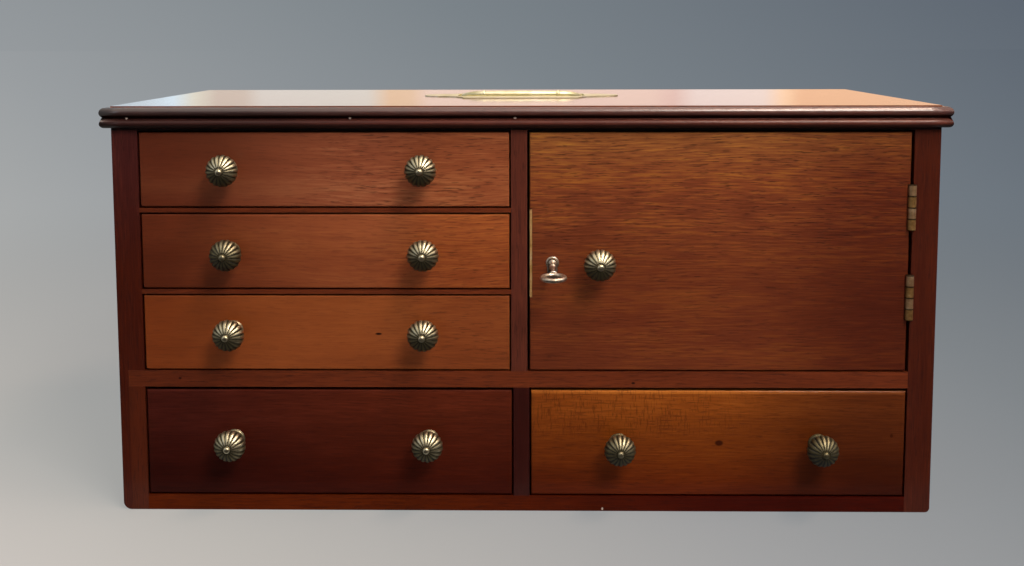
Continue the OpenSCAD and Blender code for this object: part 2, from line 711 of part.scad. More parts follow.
module small_bottom_front() color(warm_wood)
  drawer_front(small_bottom, small_head_gap, small_tails, small_bottom_bores, worn_corner_r);
module small_bottom_side_left() color(lining_wood)
  drawer_side(left_lining(small_bottom), small_bottom, small_head_gap, small_tails);
module small_bottom_side_right() color(lining_wood)
  drawer_side(right_lining(small_bottom), small_bottom, small_head_gap, small_tails);
module small_bottom_back() color(lining_wood) drawer_back(small_bottom, small_head_gap, small_tails);
module small_bottom_bottom() color(lining_wood) drawer_panel(small_bottom);
module small_bottom_knobs() drawer_knobs(small_bottom, small_head_gap, small_bottom_bores);

module deep_left_front() color(dark_wood)
  drawer_front(deep_left, deep_head_gap, deep_tails, deep_left_bores, 0);
module deep_left_side_left() color(lining_wood)
  drawer_side(left_lining(deep_left), deep_left, deep_head_gap, deep_tails);
module deep_left_side_right() color(lining_wood)
  drawer_side(right_lining(deep_left), deep_left, deep_head_gap, deep_tails);
module deep_left_back() color(lining_wood) drawer_back(deep_left, deep_head_gap, deep_tails);
module deep_left_bottom() color(lining_wood) drawer_panel(deep_left);
module deep_left_knobs() drawer_knobs(deep_left, deep_head_gap, deep_left_bores);

module deep_right_front() color(warm_wood)
  drawer_front(deep_right, deep_head_gap, deep_tails, deep_right_bores, 0);
module deep_right_side_left() color(lining_wood)
  drawer_side(left_lining(deep_right), deep_right, deep_head_gap, deep_tails);
module deep_right_side_right() color(lining_wood)
  drawer_side(right_lining(deep_right), deep_right, deep_head_gap, deep_tails);
module deep_right_back() color(lining_wood) drawer_back(deep_right, deep_head_gap, deep_tails);
module deep_right_bottom() color(lining_wood) drawer_panel(deep_right);
module deep_right_knobs() drawer_knobs(deep_right, deep_head_gap, deep_right_bores);

// Door

module door_panel() color(warm_wood) difference() {
  bevelled_door();
  knob_bore(door_x[0] + door_knob_in, door_z[0] + door_knob_up);
  hinge_mortises(-1);
  hinge_screw_holes(-1);
  span([door_x[0] - past, door_x[0] + lock_w + wood_fit], [plate_front_y, door_back_y + past],
       [lock_z - lock_h / 2 - wood_fit, lock_z + lock_h / 2 + wood_fit]);
  span([door_x[0] - past, door_x[0] + lock_plate_t], [front_y - past, door_back_y + past],
       [lock_z - lock_h / 2 - wood_fit, lock_z + lock_h / 2 + wood_fit]);
  span([door_x[0] - past, cap_x[1] + wood_fit], [cap_front_y - wood_fit, door_back_y + past],
       [cap_z[0] - wood_fit, cap_z[1] + wood_fit]);
  keyhole([front_y - past, plate_front_y], hole_r - 0.1, slot_r - 0.1, slot_drop);
  keyhole([front_y - past, front_y + escutcheon_t - escutcheon_proud + joint_fit],
          hole_r + ring_wall + joint_fit, slot_r + ring_wall + joint_fit, slot_drop);
  for (s = lock_screw_spots) translate([s[0], door_back_y, s[1]]) rotate([-90, 0, 0])
    screw_hole(lock_screw_r, lock_screw_l, lock_screw_head_r);
  for (s = [-1, 1]) translate([door_x[0], edge_screw_y, lock_z + s * lock_screw_up]) rotate([0, -90, 0])
    screw_hole(lock_screw_r, lock_screw_l, lock_screw_head_r);
}

module bevelled_door() intersection() {
  translate([0, 0, door_z[0]]) linear_extrude(height = door_z[1] - door_z[0]) polygon([
    [door_x[0], door_back_y], [door_x[0], front_y + arris], [door_x[0] + arris, front_y],
    [door_x[1] - arris, front_y], [door_x[1], front_y + arris], [door_x[1], door_back_y]
  ]);
  translate([door_x[0], 0, 0]) rotate([90, 0, 90]) linear_extrude(height = door_x[1] - door_x[0]) polygon([
    [door_back_y, door_z[0]], [front_y + arris, door_z[0]], [front_y, door_z[0] + arris],
    [front_y, door_z[1] - arris], [front_y + arris, door_z[1]], [door_back_y, door_z[1]]
  ]);
}

module door_knob() color(antique_brass) front_knob(door_x[0] + door_knob_in, door_z[0] + door_knob_up);

// Hinges. side is -1 for the door's leaf and 1 for the case's

// Which leaf a knuckle belongs to: the door has the top one, and they take turns downwards
function knuckle_side(i) = (knuckles - 1 - i) % 2 == 0 ? -1 : 1;

// The recess that a leaf lies in, with room for the knuckles
module hinge_mortises(side) for (z = hinge_zs) {
  x = side < 0 ? [door_x[1] - leaf_t, door_x[1] + past] : [inner_x - past, inner_x + leaf_t];
  span(x, [front_y - past, hinge_y + leaf_w + wood_fit],
       [z - hinge_l / 2 - wood_fit, z + hinge_l / 2 + wood_fit]);
  translate([hinge_x, hinge_y, z - hinge_l / 2 - wood_fit])
    cylinder(h = hinge_l + 2 * wood_fit, r = knuckle_r + knuckle_room);
}

module hinge_leaves(side) for (zc = hinge_zs) difference() {
  x = side < 0 ? [door_x[1] - leaf_t, door_x[1]] : [inner_x, inner_x + leaf_t];
  union() {
    difference() {
      span(x, [hinge_y, hinge_y + leaf_w], [zc - hinge_l / 2, zc + hinge_l / 2]);
      for (i = [0:knuckles - 1]) if (knuckle_side(i) != side)
        translate([hinge_x, hinge_y, zc - hinge_l / 2 + i * knuckle_l - (i == 0 ? past : 0)])
          cylinder(h = knuckle_l + (i == 0 || i == knuckles - 1 ? past : 0), r = knuckle_r + knuckle_room);
    }
    for (i = [0:knuckles - 1]) if (knuckle_side(i) == side)
      translate([hinge_x, hinge_y, zc - hinge_l / 2 + i * knuckle_l + (i == 0 ? 0 : knuckle_gap / 2)])
        cylinder(h = knuckle_l - knuckle_gap / (i == 0 || i == knuckles - 1 ? 2 : 1), r = knuckle_r);
  }
  translate([hinge_x, hinge_y, zc - hinge_l / 2 - past])
    cylinder(h = hinge_l + 2 * past, r = hinge_pin_r + running_fit);
  for (dz = hinge_screw_zs) translate([side < 0 ? door_x[1] : inner_x, hinge_screw_y, zc + dz])
    rotate([0, side < 0 ? 90 : -90, 0]) screw_hole(hinge_screw_r, hinge_screw_l, hinge_screw_head_r);
}

module door_hinge_leaves() color(brass) hinge_leaves(-1);
module case_hinge_leaves() color(brass) hinge_leaves(1);

module hinge_pins() color(brass) for (z = hinge_zs)
  translate([hinge_x, hinge_y, z - hinge_l / 2]) cylinder(h = hinge_l, r = hinge_pin_r);

module hinge_screws(side) color(brass) for (zc = hinge_zs, dz = hinge_screw_zs)
  translate([side < 0 ? door_x[1] : inner_x, hinge_screw_y, zc + dz])
    rotate([0, side < 0 ? 90 : -90, 0]) screw(hinge_screw_r, hinge_screw_l, hinge_screw_head_r);

module hinge_screw_holes(side) for (zc = hinge_zs, dz = hinge_screw_zs)
  translate([side < 0 ? door_x[1] : inner_x, hinge_screw_y, zc + dz])
    rotate([0, side < 0 ? 90 : -90, 0]) screw_hole(hinge_screw_r, hinge_screw_l, hinge_screw_head_r);

module door_hinge_screws() hinge_screws(-1);
module case_hinge_screws() hinge_screws(1);

// Lock

// A keyhole through a stretch of y: a round over a slot with a round end
module keyhole(y, r, slot, drop) {
  rod_y(lock_x, key_z, y, r);
  span([lock_x - slot, lock_x + slot], y, [key_z - drop, key_z]);
  rod_y(lock_x, key_z - drop, y, slot);
}

module keyhole_escutcheon() color(pale_brass) difference() {
  y = [front_y - escutcheon_proud, front_y - escutcheon_proud + escutcheon_t];
  keyhole(y, hole_r + ring_wall, slot_r + ring_wall, slot_drop);
  keyhole([y[0] - past, y[1] + past], hole_r, slot_r, slot_drop);
}

// Back plate and selvedge in one piece, with the drill pin and the bolt's guide stump riveted in
module lock_plate() color(brass) {
  difference() {
    union() {
      span([door_x[0], door_x[0] + lock_w], [plate_front_y, door_back_y],
           [lock_z - lock_h / 2, lock_z + lock_h / 2]);
      span([door_x[0], door_x[0] + lock_plate_t], [front_y + 0.2, door_back_y],
           [lock_z - lock_h / 2, lock_z + lock_h / 2]);
      rod_y(lock_x, pin_z, [cap_front_y + 2, door_back_y], drill_pin_r);
      rod_y(stump_x, stump_z, [bolt_y[0] - 1, door_back_y], stump_r);
    }
    span([door_x[0] - past, door_x[0] + lock_plate_t + past],
         [bolt_y[1] - bolt_head_t - 0.2, bolt_y[1] + 0.2], [bolt_z - 0.2, bolt_z + bolt_h + 0.2]);
    for (s = lock_screw_spots) translate([s[0], door_back_y, s[1]]) rotate([-90, 0, 0])
      screw_hole(lock_screw_r, lock_screw_l, lock_screw_head_r);
    for (s = [-1, 1]) translate([door_x[0], edge_screw_y, lock_z + s * lock_screw_up]) rotate([0, -90, 0])
      screw_hole(lock_screw_r, lock_screw_l, lock_screw_head_r);
  }
}

// The shallow box over the works, with the keyhole in its front
module lock_cap() color(brass) difference() {
  span(cap_x, [cap_front_y, plate_front_y], cap_z);
  span([cap_x[0] - past, cap_x[1] - cap_t], [cap_front_y + cap_t, plate_front_y + past],
       [cap_z[0] + cap_t, cap_z[1] - cap_t]);
  keyhole([cap_front_y - past, cap_front_y + cap_t + past], hole_r - 0.1, slot_r - 0.4, slot_drop + 0.6);
}

// The bolt: a thick head, a thinner tail with the talon cut in its lower edge, and the slot for the stump
module lock_bolt() color(pale_brass) difference() {
  union() {
    span([door_x[0], door_x[0] + bolt_l], bolt_y, [bolt_z, bolt_z + bolt_h]);
    span([door_x[0], door_x[0] + bolt_head_l], [bolt_y[1] - bolt_head_t, bolt_y[1]],
         [bolt_z, bolt_z + bolt_h]);
  }
  span(talon_x, [bolt_y[0] - past, bolt_y[1] + past], [bolt_z - past, bolt_z + talon_h]);
  for (x = [stump_x - bolt_draw, stump_x + bolt_throw])
    rod_y(x, stump_z, [bolt_y[0] - past, bolt_y[1] + past], stump_r + 0.15);
  span([stump_x - bolt_draw, stump_x + bolt_throw], [bolt_y[0] - past, bolt_y[1] + past],
       [stump_z - stump_r - 0.15, stump_z + stump_r + 0.15]);
}

// A bowed strip over the bolt, its ends under the cap's top wall
spring_r = 30;
spring_t = 0.6;
spring_w = 3;
spring_half = 28;
module lock_spring() color(brass) {
  low = bolt_z + bolt_h + 0.3;
  translate([(cap_x[0] + cap_x[1]) / 2, bolt_y[1] - 0.2, low + spring_r])
    rotate([90, 0, 0]) rotate([0, 0, -90 - spring_half])
    rotate_extrude(angle = 2 * spring_half)
    translate([spring_r - spring_t, 0]) square([spring_t, spring_w]);
}

module lock_screws() color(brass) {
  for (s = lock_screw_spots) translate([s[0], door_back_y, s[1]]) rotate([-90, 0, 0])
    screw(lock_screw_r, lock_screw_l, lock_screw_head_r);
  for (s = [-1, 1]) translate([door_x[0], edge_screw_y, lock_z + s * lock_screw_up]) rotate([0, -90, 0])
    screw(lock_screw_r, lock_screw_l, lock_screw_head_r);
}

// Key: a pipe with its bit, a bead, a flare and a round bow lying flat, drawn outward along z from the pivot
module key() color(pale_brass) translate([lock_x, front_y + pivot_in, pin_z]) rotate([90 + key_droop, 0, 0]) {
  reach = bow_out + pivot_in;
  inside = key_in - pivot_in;
  difference() {
    union() {
      rotate_extrude() polygon([
        [0, -inside], [shank_r, -inside], [shank_r, key_step], [shank_r - 0.5, key_step + 1],
        [shank_r - 0.5, key_bead - key_bead_half], [shank_r + 0.1, key_bead - key_bead_half / 2],
        [shank_r + 0.1, key_bead + key_bead_half / 2], [shank_r - 0.5, key_bead + key_bead_half],
        [shank_r - 0.7, key_bead + 2 * key_bead_half], [shank_r - 0.7, reach - bow_r - key_flare],
        [shank_r + 0.5, reach - bow_r], [0, reach - bow_r]
      ]);
      translate([0, -bit_t / 2, -inside]) cube([bit_r, bit_t, bit_l]);
      translate([0, 0, reach]) rotate([90, 0, 0])
        rotate_extrude() translate([bow_r, 0]) circle(r = bow_wire_r);
    }
    translate([0, 0, -inside - past]) cylinder(h = pipe_l + past, r = pipe_r);
  }
}

// Carrying handle

// Outline of the plate: straight edges between shoulders, then hollow corners, a step and a pointed end
module plate_outline(grow = 0) {
  half_w = plate_w / 2 + grow;
  end = plate_l / 2 + grow;
  quarter = concat(
    [[shoulder, half_w]],
    [for (a = [10:20:90])
      [end - plate_neck - plate_scallop * cos(a), plate_waist + (half_w - plate_waist) * (1 - sin(a))]],
    [[end - plate_tip_l, plate_waist], [end - plate_tip_l, plate_waist - plate_step]],
    [for (a = [90:-18:0]) [end - plate_tip_r + plate_tip_r * cos(a), (plate_waist - plate_step - 1) * sin(a)]]
  );
  n = len(quarter);
  polygon(concat(
    quarter,
    [for (i = [n - 2:-1:0]) [quarter[i][0], -quarter[i][1]]],
    [for (i = [0:n - 1]) [-quarter[i][0], -quarter[i][1]]],
    [for (i = [n - 2:-1:1]) [-quarter[i][0], quarter[i][1]]],
    [[-shoulder, half_w]]
  ));
}

// The room that the sunk cup takes, grown by a clearance
module cup_block(grow, z0, z1) {
  half_l = cup_l / 2 + cup_wall + grow;
  half_w = cup_w / 2 + cup_wall + grow;
  r = corner_r + cup_wall + grow;
  translate([handle_x, handle_y, 0]) union() {
    span([-half_l + r, half_l - r], [-half_w, half_w], [z0, z1]);
    span([-half_l, half_l], [-half_w + r, half_w - r], [z0, z1]);
    for (sx = [-1, 1], sy = [-1, 1]) translate([sx * (half_l - r), sy * (half_w - r), z0])
      cylinder(h = z1 - z0, r = r);
  }
}

// The lug outside the cup's end wall that a trunnion turns in
module trunnion_lugs(grow, z0, z1) for (s = [-1, 1])
  span(s > 0 ? [handle_x + cup_l / 2 - 1, handle_x + lug_x + grow]
             : [handle_x - lug_x - grow, handle_x - cup_l / 2 + 1],
       [pivot_y - 4 - grow, pivot_y + 4 + grow], [z0, z1]);

module handle_recess() {
  translate([handle_x, handle_y, handle_z - plate_t - joint_fit])
    linear_extrude(height = plate_t + past) plate_outline(joint_fit);
  cup_block(wood_fit, handle_z - cup_d - cup_wall - wood_fit, body_h + past);
  trunnion_lugs(wood_fit, pivot_z - 4 - wood_fit, body_h + past);
  for (s = plate_screw_spots) translate([handle_x + s[0], handle_y + s[1], handle_z])
    screw_hole(plate_screw_r, plate_screw_l, plate_screw_head_r);
}

module handle_plate() color(pale_brass) difference() {
  union() {
    translate([handle_x, handle_y, handle_z - plate_t]) linear_extrude(height = plate_t) plate_outline();
    cup_block(0, handle_z - cup_d - cup_wall, handle_z - plate_t / 2);
    trunnion_lugs(0, pivot_z - 4, handle_z - plate_t / 2);
  }
  difference() {
    cup_block(-cup_wall, handle_z - cup_d, handle_z + past);
    for (s = [-1, 1])
      span(s > 0 ? [handle_x + cup_l / 2 - eye_r - bail_bend / 4, handle_x + cup_l / 2 + past]
                 : [handle_x - cup_l / 2 - past, handle_x - cup_l / 2 + eye_r + bail_bend / 4],
           [pivot_y - rest_in - 5, pivot_y - rest_in], [handle_z - cup_d - past, rest_z]);
  }
  rod_x([handle_x - cup_l / 2 - trunnion_l - 0.3, handle_x + cup_l / 2 + trunnion_l + 0.3],
        pivot_y, pivot_z, trunnion_r + running_fit);
  for (s = plate_screw_spots) translate([handle_x + s[0], handle_y + s[1], handle_z])
    screw_hole(plate_screw_r, plate_screw_l, plate_screw_head_r);
}

// The bail: ball ends on the trunnions, bent corners, and a turned grip between two beads
module handle_bail() color(pale_brass) translate([handle_x, pivot_y, pivot_z]) rotate([-bail_rise, 0, 0]) {
  straight = bail_half - bail_bend;
  for (s = [0, 1]) mirror([s, 0, 0]) {
    rod_x([bail_half, cup_l / 2 + trunnion_l], 0, 0, trunnion_r);
    translate([bail_half, 0, 0]) sphere(r = eye_r);
    translate([straight, bail_bend - bail_arm, 0]) rotate([0, 0, -90])
      rotate_extrude(angle = 90) translate([bail_bend, 0]) circle(r = bail_r);
  }
  half_grip = concat(
    [for (i = [0:4]) [grip_r - (grip_r - bail_r) * pow(i / 4, 2), i / 4 * (straight - 2)]],
    [[bail_r + 0.6, straight - 1.4], [bail_r + 0.6, straight + 0.4],
     [bail_r - 0.4, straight + 1], [0, straight + 1]]
  );
  n = len(half_grip);
  translate([0, -bail_arm, 0]) rotate([0, 90, 0]) rotate_extrude() polygon(concat(
    [for (i = [n - 1:-1:1]) [half_grip[i][0], -half_grip[i][1]]],
    half_grip
  ));
}

module handle_screws() color(pale_brass) for (s = plate_screw_spots)
  translate([handle_x + s[0], handle_y + s[1], handle_z])
    screw(plate_screw_r, plate_screw_l, plate_screw_head_r);

side_left();
side_right();
bottom_board();
middle_shelf();
upper_partition();
lower_partition();
upper_divider();
lower_divider();
back_panel();
top_board();
moulding_front();
moulding_left();
moulding_right();
handle_plate();
handle_bail();
handle_screws();
door_panel();
door_knob();
door_hinge_leaves();
case_hinge_leaves();
hinge_pins();
door_hinge_screws();
case_hinge_screws();
lock_plate();
lock_cap();
lock_spring();
lock_bolt();
lock_screws();
keyhole_escutcheon();
key();
small_top_front();
small_top_side_left();
small_top_side_right();
small_top_back();
small_top_bottom();
small_top_knobs();
small_middle_front();
small_middle_side_left();
small_middle_side_right();
small_middle_back();
small_middle_bottom();
small_middle_knobs();
small_bottom_front();
small_bottom_side_left();
small_bottom_side_right();
small_bottom_back();
small_bottom_bottom();
small_bottom_knobs();
deep_left_front();
deep_left_side_left();
deep_left_side_right();
deep_left_back();
deep_left_bottom();
deep_left_knobs();
deep_right_front();
deep_right_side_left();
deep_right_side_right();
deep_right_back();
deep_right_bottom();
deep_right_knobs();
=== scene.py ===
import math

import bpy
import numpy as np
from mathutils import Matrix, Vector


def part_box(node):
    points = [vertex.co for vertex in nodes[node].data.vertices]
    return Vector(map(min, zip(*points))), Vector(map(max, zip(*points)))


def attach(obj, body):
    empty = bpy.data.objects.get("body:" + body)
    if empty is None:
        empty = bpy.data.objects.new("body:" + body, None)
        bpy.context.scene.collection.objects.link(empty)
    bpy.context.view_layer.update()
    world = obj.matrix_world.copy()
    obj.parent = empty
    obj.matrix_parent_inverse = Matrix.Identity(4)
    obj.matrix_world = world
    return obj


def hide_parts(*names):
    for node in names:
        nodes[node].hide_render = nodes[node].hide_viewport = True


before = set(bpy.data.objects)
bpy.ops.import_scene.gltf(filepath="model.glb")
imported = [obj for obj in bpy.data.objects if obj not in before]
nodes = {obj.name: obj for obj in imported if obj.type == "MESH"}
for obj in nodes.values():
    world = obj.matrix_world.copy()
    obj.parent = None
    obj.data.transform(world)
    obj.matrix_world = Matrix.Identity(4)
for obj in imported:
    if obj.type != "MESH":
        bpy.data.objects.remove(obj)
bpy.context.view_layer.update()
mm = 0.001
print("frame loaded:", len(nodes), "solids")

# the chest's main planes, read from the frame, in metres
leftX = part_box("side_left")[0][0]
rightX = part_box("side_right")[1][0]
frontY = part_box("side_left")[0][1]
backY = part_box("side_left")[1][1]
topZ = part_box("top_board")[1][2]


# small tools: colours, nodes and meshes

def hexToLinear(code):
    # an sRGB hex colour, as a colour picker shows it, in linear light
    parts = np.array([int(code[i:i + 2], 16) for i in (1, 3, 5)]) / 255
    linear = np.where(parts <= 0.04045, parts / 12.92, ((parts + 0.055) / 1.055) ** 2.4)
    return (*[float(p) for p in linear], 1.0)


def addNode(tree, kind, inputs=None, stops=(), **settings):
    # inputs go by socket name or number, each a plain value, an output, or a node for its first output; stops
    # are a colour ramp's, each a place and a hex colour
    node = tree.nodes.new("ShaderNode" + kind)
    for key, value in settings.items():
        setattr(node, key, value)
    for key, value in (inputs or {}).items():
        if isinstance(value, bpy.types.Node):
            value = value.outputs[0]
        if isinstance(value, bpy.types.NodeSocket):
            tree.links.new(value, node.inputs[key])
        else:
            node.inputs[key].default_value = value
    while stops and len(node.color_ramp.elements) < len(stops):
        node.color_ramp.elements.new(0.5)
    for number, (place, colour) in enumerate(stops):
        node.color_ramp.elements[number].position = place
        node.color_ramp.elements[number].color = hexToLinear(colour)
    return node


def emptyMaterial(name):
    material = bpy.data.materials.new(name)
    material.use_nodes = True
    material.node_tree.nodes.clear()
    return material, material.node_tree


def dress(names, material):
    # gives CAD nodes their finish
    for name in names:
        mesh = nodes[name].data
        mesh.materials.clear()
        mesh.materials.append(material)


def gridMesh(name, grids, material, attribute=None):
    # each grid is (rows, columns, 3) in metres, and its columns run round and close on themselves. Rows that
    # end where they began make a ring; others get a fan to the middle of each end
    points = []
    quads = []
    fans = []
    values = []
    start = 0
    for index, grid in enumerate(grids):
        looped = np.allclose(grid[0], grid[-1])
        grid = grid[:-1] if looped else grid
        rows, columns, _ = grid.shape
        ring = np.arange(columns)
        following = (ring + 1) % columns
        row = np.arange(rows if looped else rows - 1)
        here = row[:, None] * columns + start
        beyond = (row[:, None] + 1) % rows * columns + start
        faces = np.stack([here + ring, here + following, beyond + following, beyond + ring], -1)
        quads += faces.reshape(-1, 4).tolist()
        points.append(grid.reshape(-1, 3))
        if attribute:
            values.append(attribute[1][index].reshape(-1))
        if not looped:
            middle = start + rows * columns
            last = start + (rows - 1) * columns
            fans += np.stack([start + following, start + ring, np.full(columns, middle)], -1).tolist()
            fans += np.stack([last + ring, last + following, np.full(columns, middle + 1)], -1).tolist()
            points.append(np.stack([grid[0].mean(0), grid[-1].mean(0)]))
            if attribute:
                values.append(attribute[1][index][[0, -1]].mean(1))
        start += rows * columns + (0 if looped else 2)
    mesh = bpy.data.meshes.new(name)
    mesh.from_pydata(np.concatenate(points).tolist(), [], quads + fans)
    mesh.polygons.foreach_set("use_smooth", np.full(len(mesh.polygons), True))
    if attribute:
        layer = mesh.attributes.new(attribute[0], "FLOAT", "POINT")
        layer.data.foreach_set("value", np.concatenate(values).astype(np.float32))
    mesh.materials.append(material)
    mesh.update()
    piece = bpy.data.objects.new(name, mesh)
    bpy.context.scene.collection.objects.link(piece)
    return piece


# camera: fitted to the photograph's edges

view = {
    "place": (0.0052, -0.9087, 0.3275),
    "pitchDown": 5.467,
    "turnLeft": 0.874,
    "roll": -0.117,
    "focalPixels": 1169.57,
    "centrePixel": (514.02, 149.74),
    "imageSize": (1024, 566),
    "filmWidth": 36.0,
    "nearest": 0.01,
}


def placeCamera():
    width, height = view["imageSize"]
    data = bpy.data.cameras.new("camera")
    data.sensor_width = view["filmWidth"]
    data.lens = view["focalPixels"] / width * view["filmWidth"]
    data.shift_x = (width / 2 - view["centrePixel"][0]) / width
    data.shift_y = (view["centrePixel"][1] - height / 2) / width
    data.clip_start = view["nearest"]
    camera = bpy.data.objects.new("camera", data)
    turn = Matrix.Rotation(math.radians(view["turnLeft"]), 4, "Z")
    tilt = Matrix.Rotation(math.radians(90 - view["pitchDown"]), 4, "X")
    roll = Matrix.Rotation(math.radians(view["roll"]), 4, "Z")
    camera.matrix_world = Matrix.Translation(view["place"]) @ turn @ tilt @ roll
    bpy.context.scene.collection.objects.link(camera)
    bpy.context.scene.camera = camera


placeCamera()
bpy.context.scene.view_settings.view_transform = "Standard"
print("camera placed")


# studio: pale floor, grey surroundings, soft lamps

studio = {
    # the backdrop's greys, from its upper right to its lower left, and the slopes between which they lie
    "shades": [(0.0, "#5d6671"), (0.3, "#7b8389"), (0.58, "#999da0"), (0.86, "#b7b7b4"), (1.0, "#c4c2be")],
    "shadeReach": (-0.45, 1.16),
    "dropGain": 1.5,
    "floorReach": 30.0,
    "floorSink": 0.2,  # mm below the chest's base, so that the two faces don't meet
    "floorGrey": "#b9b9b8",
    # near the chest this share of the floor glows, at this strength, and the rest is painted and takes the
    # shadow; both go over to 1 between the two distances of litReach, in metres
    "floorGlow": 0.68,
    "nearGlow": 1.03,
    "litReach": (0.5, 1.8),
    "leastDistance": 0.5,
    "ceiling": "#f2ebe0",
    "ceilingReach": (0.35, 0.75),
    "roomGrey": "#c9ced4",
    "roomLevel": 0.42,
}

cloths = {
    "dark": "#0b0908",
    "weave": "#151210",
    "threadsPerMetre": 900.0,
    # metres from the chest's middle to the near and far edge, half the width, the height, and off the floor
    "near": 0.17,
    "far": 3.5,
    "wide": 4.0,
    "tall": 2.2,
    "lift": 0.001,
}

windowWall = {
    # a row of tall windows behind the chest, which the polished top mirrors; sizes in metres
    "plane": 3.0,
    "low": 0.15,
    "high": 2.4,
    "left": -2.0,
    "right": 1.8,
    "level": 1.44,
    # places across in metres, and the light there
    "shades": [(-1.38, "#a9b9c2"), (-1.28, "#b6c6cf"), (-1.2, "#c2d6e1"), (-1.13, "#cac8b9"),
               (-1.05, "#baada1"), (-0.96, "#bbaea2"), (-0.90, "#c5c0b9"), (-0.54, "#c5c1b9"),
               (-0.47, "#d0b295"), (-0.40, "#d0b397"), (-0.34, "#d5bdaf"), (0.40, "#d6bbae"),
               (0.48, "#ceb0a6"), (0.55, "#d7c6bf"), (0.78, "#dac9c0"), (0.845, "#e8c3a1"),
               (0.90, "#daad8a"), (1.3, "#d7ac8a")],
}

lamps = {
    # name: place, what it faces, width and height in metres, watts, colour
    "keyLamp": ((0.62, -1.3, 1.4), (0.0, -0.12, 0.16), (0.6, 0.5), 21.5, "#fff4e8"),
    "fillLamp": ((-1.6, -1.3, 0.9), (0.0, 0.0, 0.15), (1.0, 1.0), 3.0, "#e9f0ff"),
    "sideLamp": ((1.8, -0.4, 1.2), (0.1, 0.0, 0.15), (0.9, 0.9), 5.0, "#fff1e2"),
    "topLamp": ((0.72, -0.5, 1.8), (0.15, -0.16, 0.27), (1.0, 0.25), 22.0, "#ffdcc4"),
}


def backgroundShade(tree, across, depth):
    # pale at the lower left and deep at the upper right, as the backdrop falls away from the light
    drop = addNode(tree, "Math", {0: depth, 1: studio["dropGain"]}, operation="MULTIPLY")
    total = addNode(tree, "Math", {0: drop, 1: across}, operation="SUBTRACT")
    low, high = studio["shadeReach"]
    shade = addNode(tree, "MapRange", {0: total, 1: low, 2: high})
    return addNode(tree, "ValToRGB", {0: shade}, stops=studio["shades"])


def seenDirectly(tree):
    # 1 for the camera and for mirror-like and clear surfaces, 0 for the light that falls on things
    path = addNode(tree, "LightPath")
    seen = {0: path.outputs["Is Camera Ray"], 1: path.outputs["Is Glossy Ray"]}
    seen = {0: addNode(tree, "Math", seen, operation="MAXIMUM"), 1: path.outputs["Is Transmission Ray"]}
    return addNode(tree, "Math", seen, operation="MAXIMUM")


def studioCard(name, corners, material):
    # a flat card of four corners
    mesh = bpy.data.meshes.new(name)
    mesh.from_pydata(corners, [], [(0, 1, 2, 3)])
    mesh.materials.append(material)
    card = bpy.data.objects.new(name, mesh)
    bpy.context.scene.collection.objects.link(card)
    return card


def buildFloor():
    material, tree = emptyMaterial("pale painted floor")
    place = addNode(tree, "TexCoord").outputs["Object"]
    parts = addNode(tree, "SeparateXYZ", {0: place})
    # slopes across and down from a fixed place in front, held steady close to it, carry the backdrop's
    # shades on over the floor
    away = addNode(tree, "Math", {0: parts.outputs[1], 1: -view["place"][1]}, operation="ADD")
    away = addNode(tree, "Math", {0: away, 1: studio["leastDistance"]}, operation="MAXIMUM")
    across = addNode(tree, "Math", {0: parts.outputs[0], 1: away}, operation="DIVIDE")
    drop = addNode(tree, "Math", {0: view["place"][2], 1: away}, operation="DIVIDE")
    colour = backgroundShade(tree, across, drop)
    painted = addNode(tree, "BsdfDiffuse", {"Color": colour})
    plain = addNode(tree, "BsdfDiffuse", {"Color": hexToLinear(studio["floorGrey"])})
    # the shadow lies near the chest, and the floor goes over into the backdrop further out
    out = addNode(tree, "VectorMath", {0: place}, operation="LENGTH").outputs["Value"]
    near, far = studio["litReach"]
    share, level = [
        addNode(tree, "MapRange", {0: out, 1: near, 2: far, 3: start}, interpolation_type="SMOOTHSTEP")
        for start in (studio["floorGlow"], studio["nearGlow"])]
    glow = addNode(tree, "Emission", {"Color": colour, "Strength": level})
    shown = addNode(tree, "MixShader", {0: share, 1: painted, 2: glow})
    both = addNode(tree, "MixShader", {0: seenDirectly(tree), 1: plain, 2: shown})
    addNode(tree, "OutputMaterial", {0: both})
    reach = studio["floorReach"]
    low = -studio["floorSink"] * mm
    corners = [(-reach, -reach, low), (reach, -reach, low), (reach, reach, low), (-reach, reach, low)]
    studioCard("studioFloor", corners, material)


def buildRoom():
    world = bpy.data.worlds.new("studioRoom")
    world.use_nodes = True
    tree = world.node_tree
    tree.nodes.clear()
    parts = addNode(tree, "SeparateXYZ", {0: addNode(tree, "TexCoord").outputs["Generated"]})
    drop = addNode(tree, "Math", {0: parts.outputs[2], 1: -1.0}, operation="MULTIPLY")
    backdrop = backgroundShade(tree, parts.outputs[0], drop)
    low, high = studio["ceilingReach"]
    pale = addNode(tree, "MapRange", {0: parts.outputs[2], 1: low, 2: high}, interpolation_type="SMOOTHSTEP")
    shown = {0: pale, 6: backdrop, 7: hexToLinear(studio["ceiling"])}
    backdrop = addNode(tree, "Mix", shown, data_type="RGBA").outputs[2]
    seen = addNode(tree, "Background", {0: backdrop, 1: 1.0})
    light = addNode(tree, "Background", {0: hexToLinear(studio["roomGrey"]), 1: studio["roomLevel"]})
    both = addNode(tree, "MixShader", {0: seenDirectly(tree), 1: light, 2: seen})
    addNode(tree, "OutputWorld", {0: both})
    bpy.context.scene.world = world


